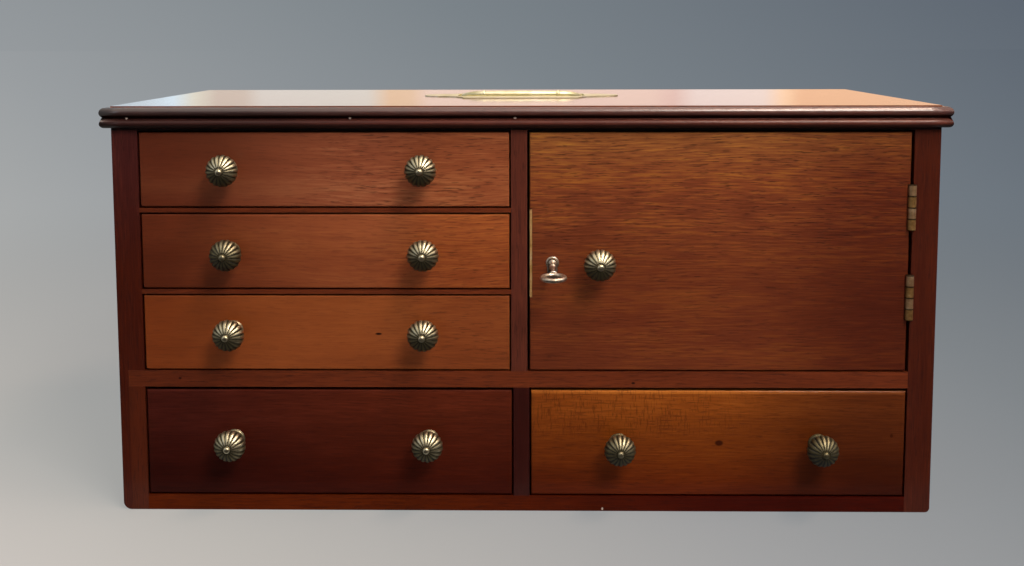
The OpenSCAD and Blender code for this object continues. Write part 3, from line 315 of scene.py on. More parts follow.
def buildCloths():
    # black cloths before the chest, on the floor and on stands: its polish mirrors them and looks deep, not
    # grey, and they hold back no light
    material, tree = emptyMaterial("black studio cloth")
    place = addNode(tree, "TexCoord").outputs["Object"]
    weave = addNode(tree, "TexNoise", {"Vector": place, "Scale": cloths["threadsPerMetre"]})
    shade = addNode(tree, "ValToRGB", {0: weave}, stops=[(0.3, cloths["dark"]), (0.7, cloths["weave"])])
    addNode(tree, "OutputMaterial", {0: addNode(tree, "BsdfDiffuse", {"Color": shade})})
    near, far, wide, tall, lift = [cloths[size] for size in ("near", "far", "wide", "tall", "lift")]
    laid = [(-wide, -far, lift), (wide, -far, lift), (wide, -near, lift), (-wide, -near, lift)]
    hung = [(-wide, -far, 0.0), (wide, -far, 0.0), (wide, -far, tall), (-wide, -far, tall)]
    for name, corners in (("studioClothLaid", laid), ("studioClothHung", hung)):
        cloth = studioCard(name, corners, material)
        cloth.visible_camera = False
        cloth.visible_diffuse = False
        cloth.visible_shadow = False
        cloth.visible_transmission = False


def buildWindows():
    left, right, plane, low, high = [windowWall[size] for size in ("left", "right", "plane", "low", "high")]
    material, tree = emptyMaterial("daylit window glass")
    parts = addNode(tree, "SeparateXYZ", {0: addNode(tree, "TexCoord").outputs["Object"]})
    share = addNode(tree, "MapRange", {0: parts, 1: left, 2: right})
    stops = [((place - left) / (right - left), colour) for place, colour in windowWall["shades"]]
    shade = addNode(tree, "ValToRGB", {0: share}, stops=stops)
    glow = addNode(tree, "Emission", {"Color": shade, "Strength": windowWall["level"]})
    addNode(tree, "OutputMaterial", {0: glow})
    corners = [(left, plane, low), (right, plane, low), (right, plane, high), (left, plane, high)]
    studioCard("studioWindows", corners, material).visible_camera = False


def buildLamps():
    for name, (place, target, size, watts, colour) in lamps.items():
        data = bpy.data.lights.new(name, "AREA")
        data.shape = "RECTANGLE"
        data.size, data.size_y = size
        data.energy = watts
        data.color = hexToLinear(colour)[:3]
        lamp = bpy.data.objects.new(name, data)
        lamp.location = place
        lamp.rotation_euler = (Vector(target) - Vector(place)).to_track_quat("-Z", "Y").to_euler()
        lamp.visible_camera = False
        bpy.context.scene.collection.objects.link(lamp)


buildFloor()
buildRoom()
buildCloths()
buildWindows()
buildLamps()
print("studio built")


# mahogany, sawn, planed, stained and french polished: open pores show as short dark dashes with the
# grain, ribbons of paler wood lie between them, and the thin shellac gives a soft gloss over both

grainOrder = {"x": (0, 2, 1), "y": (1, 2, 0), "z": (2, 0, 1)}

grainSizes = {
    # length along the grain and width across it, in mm, then what is added to the board's seed, and the
    # noise's detail; real pores are 0.2 mm wide, and are drawn wider so that they show
    "ribbon": (260.0, 20.0, 0.0, 2.0),
    "streak": (20.0, 0.95, 1.3, 3.0),
    "pore": (8.0, 0.65, 2.9, 2.0),
    "mottle": (60.0, 40.0, 4.1, 2.0),
    "fleck": (0.85, 5.0, 5.7, 1.0),
    "bend": (200.0, 60.0, 7.0, 1.0),
    "bendHeight": 9.0,
    "poreBump": 0.15,
}

grainEdges = {
    # noise levels between which a pattern goes from nothing to all of itself
    "dash": (0.54, 0.68),
    "stroke": (0.52, 0.68),
    "rough": (0.35, 0.7),
    "endGrain": (0.75, 0.9),
    "spot": (1.1, 0.55),
    # levels of a board's dark, middle and light tone
    "tones": (0.12, 0.5, 0.88),
}


def stretchedNoise(tree, along, across, look, pattern):
    # noise in a space where one step is one grain length along and one grain width across
    length, width, offset, detail = grainSizes[pattern]
    spaced = {}
    for axis, (place, reach) in enumerate(((along, length), (across[0], width), (across[1], width))):
        spaced[axis] = addNode(tree, "Math", {0: place, 1: 1 / (reach * mm)}, operation="MULTIPLY")
    space = addNode(tree, "CombineXYZ", spaced)
    noise = {"Vector": space, "W": look["seed"] + offset, "Scale": 1.0, "Detail": detail}
    return addNode(tree, "TexNoise", noise, noise_dimensions="4D")


def weighted(tree, base, value, gain):
    # base plus the part of value above or below its middle, times gain
    centred = addNode(tree, "Math", {0: value, 1: 0.5}, operation="SUBTRACT")
    return addNode(tree, "Math", {0: centred, 1: gain, 2: base}, operation="MULTIPLY_ADD")


def alongAxis(tree, parts, edge, end=1.0, start=0.0, kind="SMOOTHSTEP"):
    # edge is (axis, low, high) in mm: start before the plane at low, end beyond the one at high, and a slope
    # between them
    axis, low, high = edge
    reach = {0: parts.outputs["xyz".index(axis)], 1: low * mm, 2: high * mm, 3: start, 4: end}
    return addNode(tree, "MapRange", reach, interpolation_type=kind)


def spotMask(tree, parts, spot):
    # 1 inside an oval on the front, 0 outside: centre x and z, half width and half height in mm
    x, z, halfWide, halfHigh = spot
    wide = {0: parts.outputs[0], 1: x * mm, 2: (x + halfWide) * mm}
    high = {0: parts.outputs[2], 1: z * mm, 2: (z + halfHigh) * mm}
    flat = {0: addNode(tree, "MapRange", wide, clamp=False), 1: addNode(tree, "MapRange", high, clamp=False)}
    flat = addNode(tree, "CombineXYZ", flat)
    far = addNode(tree, "VectorMath", {0: flat}, operation="LENGTH").outputs["Value"]
    outer, inner = grainEdges["spot"]
    return addNode(tree, "MapRange", {0: far, 1: outer, 2: inner}, interpolation_type="SMOOTHSTEP")


def grainTone(tree, parts, along, across, look, lively):
    # how pale the wood is, 0.5 in its middle tone: ribbons, streaks and mottle added up, then painted
    # highlights, each lifting the tone beyond a plane
    ribbon, streak, mottle = [
        stretchedNoise(tree, along, across, look, pattern) for pattern in ("ribbon", "streak", "mottle")]
    tone = weighted(tree, 0.5, ribbon, look["ribbon"])
    gain = addNode(tree, "Math", {0: lively, 1: look["streak"]}, operation="MULTIPLY")
    tone = weighted(tree, tone, streak, gain)
    tone = weighted(tree, tone, mottle, look["mottle"])
    for *edge, gain in look.get("paintedHighlights", ()):
        tone = addNode(tree, "Math", {0: tone, 1: alongAxis(tree, parts, edge, gain)}, operation="ADD")
    return tone


def colourAndPaintedShade(tree, parts, tone, look):
    # the board's three tones, then washes that multiply it by a tint along an axis, then patches with their
    # own tone; some washes and patches are painted shade
    stops = list(zip(grainEdges["tones"], look["tones"]))
    colour = addNode(tree, "ValToRGB", {0: tone}, stops=stops)
    for *edge, tint in look.get("tintsAndPaintedShade", ()):
        tinting = {0: alongAxis(tree, parts, edge), 6: colour, 7: hexToLinear(tint)}
        colour = addNode(tree, "Mix", tinting, data_type="RGBA", blend_type="MULTIPLY").outputs[2]
    for edges, tint, amount in look.get("patches", ()):
        inside = amount
        for edge in edges:
            share = alongAxis(tree, parts, edge, kind="LINEAR")
            inside = addNode(tree, "Math", {0: share, 1: inside}, operation="MULTIPLY")
        patch = {0: inside, 6: colour, 7: hexToLinear(tint)}
        colour = addNode(tree, "Mix", patch, data_type="RGBA").outputs[2]
    return colour


def openPores(tree, parts, along, across, pore, look, lively):
    # 1 in a dark mark: dashes with the grain, strokes across it where the cut meets the rays, and spots
    low, high = grainEdges["dash"]
    dash = {0: pore, 1: low, 2: high, 4: look["pore"]}
    dash = addNode(tree, "MapRange", dash, interpolation_type="SMOOTHSTEP")
    dash = addNode(tree, "Math", {0: dash, 1: lively}, operation="MULTIPLY")
    if "fleck" in look:
        fleck = stretchedNoise(tree, along, across, look, "fleck")
        gain, edges = look["fleck"]
        low, high = grainEdges["stroke"]
        stroke = {0: fleck, 1: low, 2: high, 4: gain}
        stroke = addNode(tree, "MapRange", stroke, interpolation_type="SMOOTHSTEP")
        for edge in edges:
            stroke = addNode(tree, "Math", {0: stroke, 1: alongAxis(tree, parts, edge)}, operation="MULTIPLY")
        dash = addNode(tree, "Math", {0: dash, 1: stroke}, operation="MAXIMUM")
    for spot in look.get("spots", ()):
        dash = addNode(tree, "Math", {0: dash, 1: spotMask(tree, parts, spot)}, operation="MAXIMUM")
    return dash


def mahogany(name, look):
    material, tree = emptyMaterial(name)
    coords = addNode(tree, "TexCoord")
    parts = addNode(tree, "SeparateXYZ", {0: coords.outputs["Object"]})
    order = grainOrder[look["grain"]]
    along, first, second = [parts.outputs[i] for i in order]
    bend = stretchedNoise(tree, along, (first, second), look, "bend")
    first = weighted(tree, first, bend, look["bend"] * grainSizes["bendHeight"] * mm)
    across = (first, second)
    lively = 1.0
    if "calm" in look:
        # a stretch of plain, close grain
        *edge, least = look["calm"]
        lively = alongAxis(tree, parts, edge, least, 1.0)
    tone = grainTone(tree, parts, along, across, look, lively)
    colour = colourAndPaintedShade(tree, parts, tone, look)
    pore = stretchedNoise(tree, along, across, look, "pore")
    dash = openPores(tree, parts, along, across, pore, look, lively)
    marked = {0: dash, 6: colour, 7: hexToLinear(look["poreTone"])}
    colour = addNode(tree, "Mix", marked, data_type="RGBA").outputs[2]
    for speck in look.get("specks", ()):
        # filler that has shrunk and shows pale
        marked = {0: spotMask(tree, parts, speck), 6: colour, 7: hexToLinear(look["fillerTone"])}
        colour = addNode(tree, "Mix", marked, data_type="RGBA").outputs[2]
    # end grain drinks the stain: a face whose normal runs with the grain is darker and duller
    normalParts = addNode(tree, "SeparateXYZ", {0: coords.outputs["Normal"]})
    facing = addNode(tree, "Math", {0: normalParts.outputs[order[0]]}, operation="ABSOLUTE")
    low, high = grainEdges["endGrain"]
    endGrain = addNode(tree, "MapRange", {0: facing, 1: low, 2: high, 4: look["endShare"]})
    marked = {0: endGrain, 6: colour, 7: hexToLinear(look["endTone"])}
    colour = addNode(tree, "Mix", marked, data_type="RGBA").outputs[2]
    low, high = grainEdges["rough"]
    rough = {0: pore, 1: low, 2: high, 3: look["rough"], 4: look["rough"] + look["poreRough"]}
    height = addNode(tree, "Math", {0: dash, 1: -1.0}, operation="MULTIPLY")
    bump = {"Height": height, "Strength": look["bump"], "Distance": grainSizes["poreBump"] * mm}
    specular, coat = look["specular"], look["coat"]
    if "polish" in look:
        # how well each height was rubbed down: 1 where the pad reached, less in a groove
        low, high, stops = look["polish"]
        level = alongAxis(tree, parts, ("z", low, high), kind="LINEAR")
        stops = [((place - low) / (high - low), grey) for place, grey in stops]
        rubbed = addNode(tree, "ValToRGB", {0: level}, stops=stops)
        specular = addNode(tree, "Math", {0: rubbed, 1: specular}, operation="MULTIPLY")
        coat = addNode(tree, "Math", {0: rubbed, 1: coat}, operation="MULTIPLY")
    shader = addNode(tree, "BsdfPrincipled", {
        "Base Color": colour, "Roughness": addNode(tree, "MapRange", rough), "IOR": look["ior"],
        "Specular IOR Level": specular, "Coat Weight": coat, "Coat Roughness": look["coatRough"],
        "Coat IOR": look["ior"], "Normal": addNode(tree, "Bump", bump),
    })
    addNode(tree, "OutputMaterial", {0: shader})
    return material


woodBasis = {
    "grain": "x", "bend": 1.0, "ribbon": 0.35, "streak": 0.62, "mottle": 0.2, "pore": 0.45, "bump": 0.35,
    "poreTone": "#240a05", "poreRough": 0.15, "fillerTone": "#b9a89c", "endTone": "#2c120b", "endShare": 0.6,
    "rough": 0.34, "specular": 0.14, "coat": 0.08, "coatRough": 0.12, "ior": 1.5,
}

boards = {
    # finish name: the nodes that take it, and what differs from the basis. Places are in mm. A wash is an
    # axis, where it begins, where it is full, and its tint; calm and painted highlights end with a strength
    # instead. A patch has its edges first, and fleck its strength. Spots and specks are x, z, half width,
    # half height. The washes that darken a front toward its ends and foot are partly its own tone and partly
    # painted shade, where the light falls off
    "dark stained mahogany left stile": (["side_left"], {
        "grain": "z", "seed": 11.0, "tones": ("#2d0e0e", "#431b18", "#5d2921"),
        "tintsAndPaintedShade": [("z", 260, 160, "#f6ce80")],
        "patches": [([("x", -274.2, -273.4), ("z", 92.5, 91.5)], "#5c2810", 0.35)],
        "mottle": 0.1, "ribbon": 0.5}),
    "dark stained mahogany right stile": (["side_right"], {
        "grain": "z", "seed": 17.0, "tones": ("#2b0b06", "#44180a", "#5d2510"),
        "mottle": 0.1, "ribbon": 0.5}),
    "dark stained mahogany partitions": (["upper_partition", "lower_partition"], {
        "grain": "z", "seed": 23.0, "tones": ("#371714", "#57291d", "#713925"),
        "tintsAndPaintedShade": [("z", 105, 85, "#9b7c89")], "mottle": 0.1, "ribbon": 0.4}),
    "stained mahogany rails": (["middle_shelf", "upper_divider", "lower_divider"], {
        "seed": 31.0, "tones": ("#391408", "#622a12", "#813e1c"), "mottle": 0.15,
        "tintsAndPaintedShade": [("x", -120, -250, "#e8e4ea")],
        "spots": [(-238.0, 93.8, 1.3, 0.9), (74.8, 91.0, 1.5, 0.9)]}),
    "stained mahogany bottom rail": (["bottom_board"], {
        "seed": 37.0, "tones": ("#3b1508", "#652b12", "#84401c"), "mottle": 0.15,
        "tintsAndPaintedShade": [("z", 40, 20, "#cdab30"), ("x", -120, 160, "#bd8398")],
        "specular": 0.06, "coat": 0.03, "specks": [(54.0, 1.6, 0.8, 1.1)]}),
    "polished mahogany top": (["top_board"], {
        "seed": 41.0, "tones": ("#522413", "#7c4026", "#9c5c3a"), "rough": 0.3, "specular": 0.5,
        "coat": 1.0, "coatRough": 0.09, "bump": 0.12,
        # both washes are painted shade: on the top's edge under the moulding, and on its front face in the
        # narrow quirk above the upper bead
        "tintsAndPaintedShade": [("z", 269.5, 268, "#4a4046"), ("y", -124.2, -124.8, "#8a7c7c")]}),
    "polished mahogany door": (["door_panel"], {
        "seed": 53.0, "tones": ("#542912", "#8c5229", "#c28930"), "streak": 0.95, "pore": 0.6,
        "tintsAndPaintedShade": [("z", 262, 228, "#d8bece"), ("z", 240, 150, "#d9cac5"), ("x", 140, 245, "#c4b0b4")],
        "calm": ("z", 215, 150, 0.6)}),
    "polished mahogany top drawer": (["small_top_front"], {
        "seed": 61.0, "tones": ("#512212", "#884a2f", "#b77b51"), "bend": 2.5, "pore": 0.55,
        "tintsAndPaintedShade": [("x", -90, -260, "#ac968c"), ("x", -110, -40, "#fffae7")],
        "calm": ("x", -110, -170, 0.3)}),
    "polished mahogany middle drawer": (["small_middle_front"], {
        "seed": 71.0, "tones": ("#542213", "#8e4c2b", "#bd7640"), "bend": 3.0,
        "tintsAndPaintedShade": [("x", -90, -260, "#ad9790"), ("x", -110, -40, "#fff7d7"), ("z", 204, 178, "#e8e0da")],
        "calm": ("x", -60, -120, 0.45)}),
    "polished mahogany bottom drawer": (["small_bottom_front"], {
        "seed": 83.0, "tones": ("#56230d", "#83431d", "#a7602e"), "streak": 0.45, "pore": 0.35,
        "tintsAndPaintedShade": [("x", -150, -260, "#ddcbb6"), ("x", -110, -40, "#eae5e7")],
        "spots": [(-100.1, 125.2, 2.6, 0.9)], "calm": ("x", -60, -120, 0.5)}),
    "dark polished mahogany deep drawer": (["deep_left_front"], {
        "seed": 97.0, "tones": ("#2e0f07", "#532010", "#74331e"), "streak": 0.5, "pore": 0.35,
        "tintsAndPaintedShade": [("z", 90, 5, "#b69284"), ("x", -60, -260, "#ccc8f9")], "specular": 0.06, "coat": 0.04}),
    "orange polished mahogany deep drawer": (["deep_right_front"], {
        "seed": 103.0, "tones": ("#4c2009", "#804111", "#ab6221"), "streak": 0.5, "poreTone": "#351203",
        "tintsAndPaintedShade": [("z", 88, 8, "#a67b65"), ("x", 100, 240, "#aaa2d1"), ("x", 70, 20, "#ede7e7")],
        # a painted highlight pales the top arris, where the light from above falls on it
        "specular": 0.08, "fleck": (0.43, [("x", 190, 90), ("z", 48, 62)]), "paintedHighlights": [("z", 83.2, 84.2, 0.6)],
        "spots": [(134.2, 48.8, 3.3, 2.4), (252.5, 54.3, 1.3, 1.6)]}),
    # deal, planed, thinly stained and left without polish: plain brown and dull
    "planed deal back board": (["back_panel"], {
        "seed": 113.0, "tones": ("#5f3a20", "#7d5230", "#946640"), "rough": 0.7, "coat": 0.0,
        "poreTone": "#4a2b16", "endTone": "#4f2f19"}),
}

cedarLook = {
    # cedar, planed and left bare as drawer linings are: pale, dull and close in the grain
    "tones": ("#7a5030", "#a07146", "#b98a5c"), "rough": 0.7, "coat": 0.0, "poreTone": "#6a4224",
    "endTone": "#6b4426", "streak": 0.5, "pore": 0.35,
}

drawerNames = ("small_top", "small_middle", "small_bottom", "deep_left", "deep_right")
for offset, drawer in enumerate(drawerNames):
    boards["planed cedar sides of " + drawer] = (
        [drawer + "_side_left", drawer + "_side_right"], {**cedarLook, "grain": "y", "seed": 131.0 + offset})
    boards["planed cedar back and bottom of " + drawer] = (
        [drawer + "_back", drawer + "_bottom"], {**cedarLook, "seed": 151.0 + offset})

for finishName, (boardNodes, look) in boards.items():
    dress(boardNodes, mahogany(finishName, {**woodBasis, **look}))

mouldingLook = {
    # mahogany stuck as a double bead and polished along its crests, with duller hollows; the wash darkening
    # its left end and the dark patches in the quirk and under the lower bead are painted shade
    **woodBasis, "tones": ("#2c0f0a", "#4c2118", "#6e3826"), "tintsAndPaintedShade": [("x", -40, -200, "#b3cbe7")],
    "mottle": 0.1, "specular": 0.85, "rough": 0.4, "coat": 0.9, "coatRough": 0.2, "pore": 0.35,
    "polish": (266, 284, [(266, "#585858"), (272.8, "#8c8c8c"), (273.6, "#303030"), (275.6, "#303030"),
                          (277.2, "#ffffff")]),
    # painted shade: dark in the quirk and over the upper bead's underside, and on the lower bead's underside
    "patches": [([("z", 273.2, 273.9), ("z", 276.8, 275.4)], "#100504", 0.95),
                ([("z", 270.6, 268.8)], "#140806", 0.8)],
    "specks": [(-268.0, 274.0, 1.0, 0.8), (-117.0, 274.0, 1.0, 0.8), (-6.0, 274.0, 1.2, 0.8)],
}
mouldingFinish = mahogany("dark polished mahogany moulding", {**mouldingLook, "seed": 171.0})
mouldingEndFinish = mahogany("dark polished mahogany side moulding", {
    **mouldingLook, "grain": "y", "seed": 175.0})
print("boards finished:", len(boards))


# brass, as rolled sheet, turned rod or castings: warm metal, cloudy where it has tarnished

def castBrass(name, look):
    # three shades of one metal by a cloud of tarnish, rougher where it is dull, with fine rubbed scratches
    material, tree = emptyMaterial(name)
    place = addNode(tree, "TexCoord").outputs["Object"]
    noise = {"Vector": place, "Scale": 1 / (look["cloudSize"] * mm), "Detail": 4.0, "Roughness": 0.6}
    cloud = addNode(tree, "TexNoise", noise)
    dull, even, clear = look["levels"]
    stops = [(dull, look["tarnish"]), (even, look["metal"]), (clear, look["bright"])]
    colour = addNode(tree, "ValToRGB", {0: cloud}, stops=stops)
    if "seams" in look:
        # dark lines between the knuckles of each hinge, every pitch up from its foot
        lowFoot, highFoot, pitch = look["seams"]
        height = addNode(tree, "SeparateXYZ", {0: place}).outputs[2]
        upper = addNode(tree, "Math", {0: height, 1: highFoot - mm}, operation="GREATER_THAN")
        foot = addNode(tree, "MapRange", {0: upper, 3: lowFoot, 4: highFoot})
        up = addNode(tree, "Math", {0: height, 1: foot}, operation="SUBTRACT")
        far = addNode(tree, "Math", {0: up, 1: pitch / 2}, operation="PINGPONG")
        inner, outer = look["seamEdges"]
        seam = addNode(tree, "MapRange", {0: far, 1: inner * mm, 2: outer * mm, 3: look["seamShare"], 4: 0.0})
        dark = {0: seam, 6: colour, 7: hexToLinear(look["seamTone"])}
        colour = addNode(tree, "Mix", dark, data_type="RGBA").outputs[2]
    if "darkFrom" in look:
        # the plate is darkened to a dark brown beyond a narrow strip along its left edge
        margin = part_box("lock_plate")[0][0] / mm + look["darkFrom"]
        edge = ("x", margin, margin + look["darkEdge"])
        parts = addNode(tree, "SeparateXYZ", {0: place})
        darkened = alongAxis(tree, parts, edge, look["darkShare"], kind="LINEAR")
        dark = {0: darkened, 6: colour, 7: hexToLinear(look["darkTone"])}
        colour = addNode(tree, "Mix", dark, data_type="RGBA").outputs[2]
    rough = {0: cloud, 1: dull, 2: clear, 3: look["rough"] + look["dullness"], 4: look["rough"]}
    grit = addNode(tree, "TexNoise", {"Vector": place, "Scale": 1 / (look["gritSize"] * mm), "Detail": 2.0})
    bump = {"Height": grit, "Strength": look["bump"], "Distance": look["gritDepth"] * mm}
    shader = addNode(tree, "BsdfPrincipled", {
        "Base Color": colour, "Roughness": addNode(tree, "MapRange", rough), "Metallic": 1.0,
        "Normal": addNode(tree, "Bump", bump),
    })
    addNode(tree, "OutputMaterial", {0: shader})
    return material


def antiquedBrass(name, look):
    # brass blackened with patina and rubbed bright again on its ridges: the mesh's attribute is 0 in a groove
    # and 1 on a ridge, and on the knob heads it also carries painted light, higher on the side toward the
    # lamp and lower, as painted shade, on the side away
    material, tree = emptyMaterial(name)
    place = addNode(tree, "TexCoord").outputs["Object"]
    rubAndLight = addNode(tree, "Attribute", attribute_name="wear").outputs["Fac"]
    cloud = addNode(tree, "TexNoise", {"Vector": place, "Scale": 1 / (look["cloudSize"] * mm), "Detail": 3.0})
    rubAndLight = weighted(tree, rubAndLight, cloud, look["cloudGain"])
    black, half, bright = look["levels"]
    stops = [(black, look["patina"]), (half, look["half"]), (bright, look["ridge"])]
    rough = {0: rubAndLight, 1: look["rubbedFrom"], 2: bright, 3: look["patinaRough"], 4: look["rough"]}
    metal = {0: rubAndLight, 1: look["rubbedFrom"], 2: half, 3: look["patinaMetal"]}
    shader = addNode(tree, "BsdfPrincipled", {
        "Base Color": addNode(tree, "ValToRGB", {0: rubAndLight}, stops=stops),
        "Roughness": addNode(tree, "MapRange", rough), "Metallic": addNode(tree, "MapRange", metal),
    })
    addNode(tree, "OutputMaterial", {0: shader})
    return material


hinge = {"length": 31.0, "knuckles": 4}
hingeLow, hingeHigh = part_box("door_hinge_leaves")
hingeSeams = (hingeLow[2], hingeHigh[2] - hinge["length"] * mm, hinge["length"] * mm / hinge["knuckles"])
brassBasis = {
    # sizes in mm, and the levels of the cloud at its tarnished, plain and bright shade
    "cloudSize": 9.0, "gritSize": 0.6, "gritDepth": 0.05, "levels": (0.3, 0.55, 0.75),
    "bump": 0.15, "rough": 0.28, "dullness": 0.12,
}
hingeBasis = {
    "rough": 0.5, "cloudSize": 7.0, "seams": hingeSeams, "seamEdges": (0.25, 0.7), "seamShare": 0.85,
    "seamTone": "#1c120a",
}
brasses = {
    "pinkish sheet brass door hinge leaves": (["door_hinge_leaves", "hinge_pins", "door_hinge_screws"], {
        **hingeBasis, "tarnish": "#87684b", "metal": "#b99772", "bright": "#e0c6a6"}),
    "olive sheet brass case hinge leaves": (["case_hinge_leaves", "case_hinge_screws"], {
        **hingeBasis, "tarnish": "#7f5e38", "metal": "#b28c58", "bright": "#d9ba88"}),
    "sheet brass lock works": (["lock_cap", "lock_spring", "lock_bolt", "lock_screws"], {
        "tarnish": "#8d7240", "metal": "#c9ab6c", "bright": "#e6cc98", "rough": 0.4}),
    "sheet brass lock plate": (["lock_plate"], {
        "tarnish": "#c79a58", "metal": "#f0c687", "bright": "#ffe2b0", "rough": 0.55,
        "darkFrom": 1.3, "darkEdge": 0.4, "darkShare": 0.9, "darkTone": "#3a1d0e"}),
    "polished brass handle": (["handle_plate", "handle_bail", "handle_screws"], {
        "tarnish": "#cfc79a", "metal": "#e8e2c0", "bright": "#f8f4e0", "rough": 0.42, "cloudSize": 14.0,
        "bump": 0.03}),
}
for finishName, (brassNodes, look) in brasses.items():
    dress(brassNodes, castBrass(finishName, {**brassBasis, **look}))
knobFinish = antiquedBrass("antiqued cast brass knobs", {
    "patina": "#120f09", "half": "#625b41", "ridge": "#cbc2a4", "rough": 0.38, "patinaRough": 0.65,
    "patinaMetal": 0.3, "cloudSize": 4.0, "cloudGain": 0.2, "levels": (0.15, 0.5, 0.9), "rubbedFrom": 0.1})
keyFinish = castBrass("worn pale brass key", {
    **brassBasis, "tarnish": "#9c8b78", "metal": "#d9cbb9", "bright": "#f4ebe0", "rough": 0.34,
    "cloudSize": 3.0, "bump": 0.3})
print("brass finished")


# shapes shared by the pieces

upright = ((1, 0, 0), (0, 0, 1), (0, -1, 0))  # sideways, upward and outward for a piece that faces the front


def smoothPath(points, steps):
    # a smooth curve through the points: between two of them it is a cubic, whose slope at each is half the
    # way from the point before to the point after
    p = np.array([points[0], *points, points[-1]], float)
    t = np.linspace(0, 1, steps, endpoint=False)[None, :, None]
    a, b, c, d = [p[i:len(p) - 3 + i, None, :] for i in range(4)]
    square = 2 * a - 5 * b + 4 * c - d
    cube = 3 * b - a - 3 * c + d
    curve = 0.5 * (2 * b + (c - a) * t + square * t ** 2 + cube * t ** 3)
    return np.concatenate([curve.reshape(-1, p.shape[1]), p[-2:-1]])


def placed(local, origin, axes):
    # local (sideways, upward, outward) in mm, carried to its place in the frame
    return (local @ np.array(axes, float)) * mm + np.array(origin)


# knobs: cast melon heads, each reed a rounded lobe between two sharp grooves, on a turned neck and foot

knob = {
    "reeds": 18,
    "columnsPerReed": 14,
    "headRows": 34,
    "headSpan": (-60, 74),
    "grooveDepth": 1.25,
    "lobePower": 0.38,
    "headRadius": 10.75,
    "headHalf": 8.4,
    "headBack": 1.6,
    "reach": 25.0,
    "foot": [(0.0, 0.02), (6.3, 0.02), (6.72, 0.35), (6.72, 1.0), (6.3, 1.55), (5.2, 2.0), (3.9, 2.6),
             (3.4, 3.7), (3.4, 5.4), (3.9, 6.6), (4.7, 7.35)],
    "footSteps": 4,
    "boss": [(2.2, -0.7), (2.25, 0.35), (1.95, 1.0), (1.2, 1.5), (0.05, 1.68)],
    "bossSteps": 5,
    "turnStep": 0.35,
    # how bright hands have rubbed the foot, at three radii, and the boss, from its rim in; then the head's
    # middle level, and its painted light: how much it swings round about, and where it is brightest, in
    # degrees, on the side toward the lamp
    "footRub": ([3.4, 5.5, 6.7], [0.25, 0.3, 0.75]),
    "bossRub": (0.6, 1.0),
    "headRubAndPaintedLight": (0.72, 0.28, 72),
    "grooveRub": 2.0,
    # these pairs, left and right, have been handled less than the others
    "lessWorn": {"small_middle_knobs": (0.72, 1.0), "deep_right_knobs": (0.74, 0.62)},
}


def knobGrid(centre, turn):
    # head: radius = cos(latitude) x (equator - groove depth x (1 - |sin(reeds / 2 x angle)| ^ lobe power)),
    # between a turned foot and a turned boss
    middle = knob["reach"] - knob["headBack"] - knob["headHalf"]
    latitude = np.radians(np.linspace(*knob["headSpan"], knob["headRows"]))
    foot = smoothPath(knob["foot"], knob["footSteps"])
    boss = smoothPath(knob["boss"], knob["bossSteps"])
    boss[:, 1] += knob["reach"] - boss[-1, 1]
    radius = np.concatenate([foot[:, 0], knob["headRadius"] * np.cos(latitude), boss[:, 0]])
    height = np.concatenate([foot[:, 1], middle + knob["headHalf"] * np.sin(latitude), boss[:, 1]])
    reeded = np.concatenate([np.zeros(len(foot)), np.cos(latitude), np.zeros(len(boss))])[:, None]
    angle = np.linspace(0, 2 * np.pi, knob["reeds"] * knob["columnsPerReed"], endpoint=False)
    lobe = np.abs(np.sin(knob["reeds"] / 2 * angle)) ** knob["lobePower"]
    r = radius[:, None] - knob["grooveDepth"] * reeded * (1 - lobe)
    z = np.repeat(height[:, None], len(angle), 1)
    local = np.stack([r * np.cos(angle + turn), r * np.sin(angle + turn), z], -1)
    polished = np.concatenate([np.interp(foot[:, 0], *knob["footRub"]), np.ones(len(latitude)),
                               np.linspace(*knob["bossRub"], len(boss))])
    level, swing, litSide = knob["headRubAndPaintedLight"]
    # painted light: the head is brighter on the side toward the lamp, and painted in shade on the side away
    side = level + swing * np.cos(angle + turn - np.radians(litSide))
    onReed = np.where(reeded > 0, lobe ** knob["grooveRub"] * side, 1.0)
    return placed(local, centre, upright), polished[:, None] * onReed


def buildKnobs(node, body, name):
    low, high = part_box(node)
    radius = (high[2] - low[2]) / 2
    row = (low[2] + high[2]) / 2
    # a pair stands at the two ends of its box, where a single knob has one place; each has its own turn
    places = sorted({round(low[0] + radius, 5), round(high[0] - radius, 5)})
    made = [knobGrid((x, frontY, row), knob["turnStep"] * order + row) for order, x in enumerate(places)]
    rubAndLight = knob["lessWorn"].get(node, (1.0, 1.0))
    wear = [share * grid for share, (_, grid) in zip(rubAndLight, made)]
    piece = gridMesh(name, [grid for grid, _ in made], knobFinish, ("wear", wear))
    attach(piece, body)
    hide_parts(node)


for drawer in drawerNames:
    buildKnobs(drawer + "_knobs", drawer + "_drawer", drawer + "_reeded_knobs")
buildKnobs("door_knob", "door", "door_reeded_knob")
print("knobs built")


# key: a drilled pipe with its bit, a collar, a bead, a flare and a round bow lying flat

key = {
    "droop": 3.0,
    "pivotIn": 10.0,
    "holeDrop": 4.5,
    "sides": 40,
    "profile": [(0.0, 5.6), (1.5, 5.6), (1.5, -3.4), (2.2, -3.4), (2.2, 9.8), (2.75, 10.6), (2.85, 11.6),
                (2.5, 12.5), (1.75, 13.4), (1.65, 19.0), (1.7, 20.4), (2.35, 21.2), (2.4, 22.2), (1.8, 23.2),
                (1.45, 24.5), (1.4, 30.0), (1.6, 34.0), (2.1, 38.5), (2.65, 42.0), (2.5, 43.0), (0.05, 43.4)],
    "sharpCorners": 4,
    "profileSteps": 5,
    "bowReach": 50.0,
    "bowRadius": 7.3,
    "bowWire": 1.6,
    "bowSteps": 72,
    "bowWear": 0.03,
    "bit": (7.0, 1.6, 4.2),
    "bitStart": -3.4,
    "bitRoot": 1.6,
    "bitRound": 0.25,
    "bitSqueeze": 0.8,
    "bitSquareness": 0.3,
}


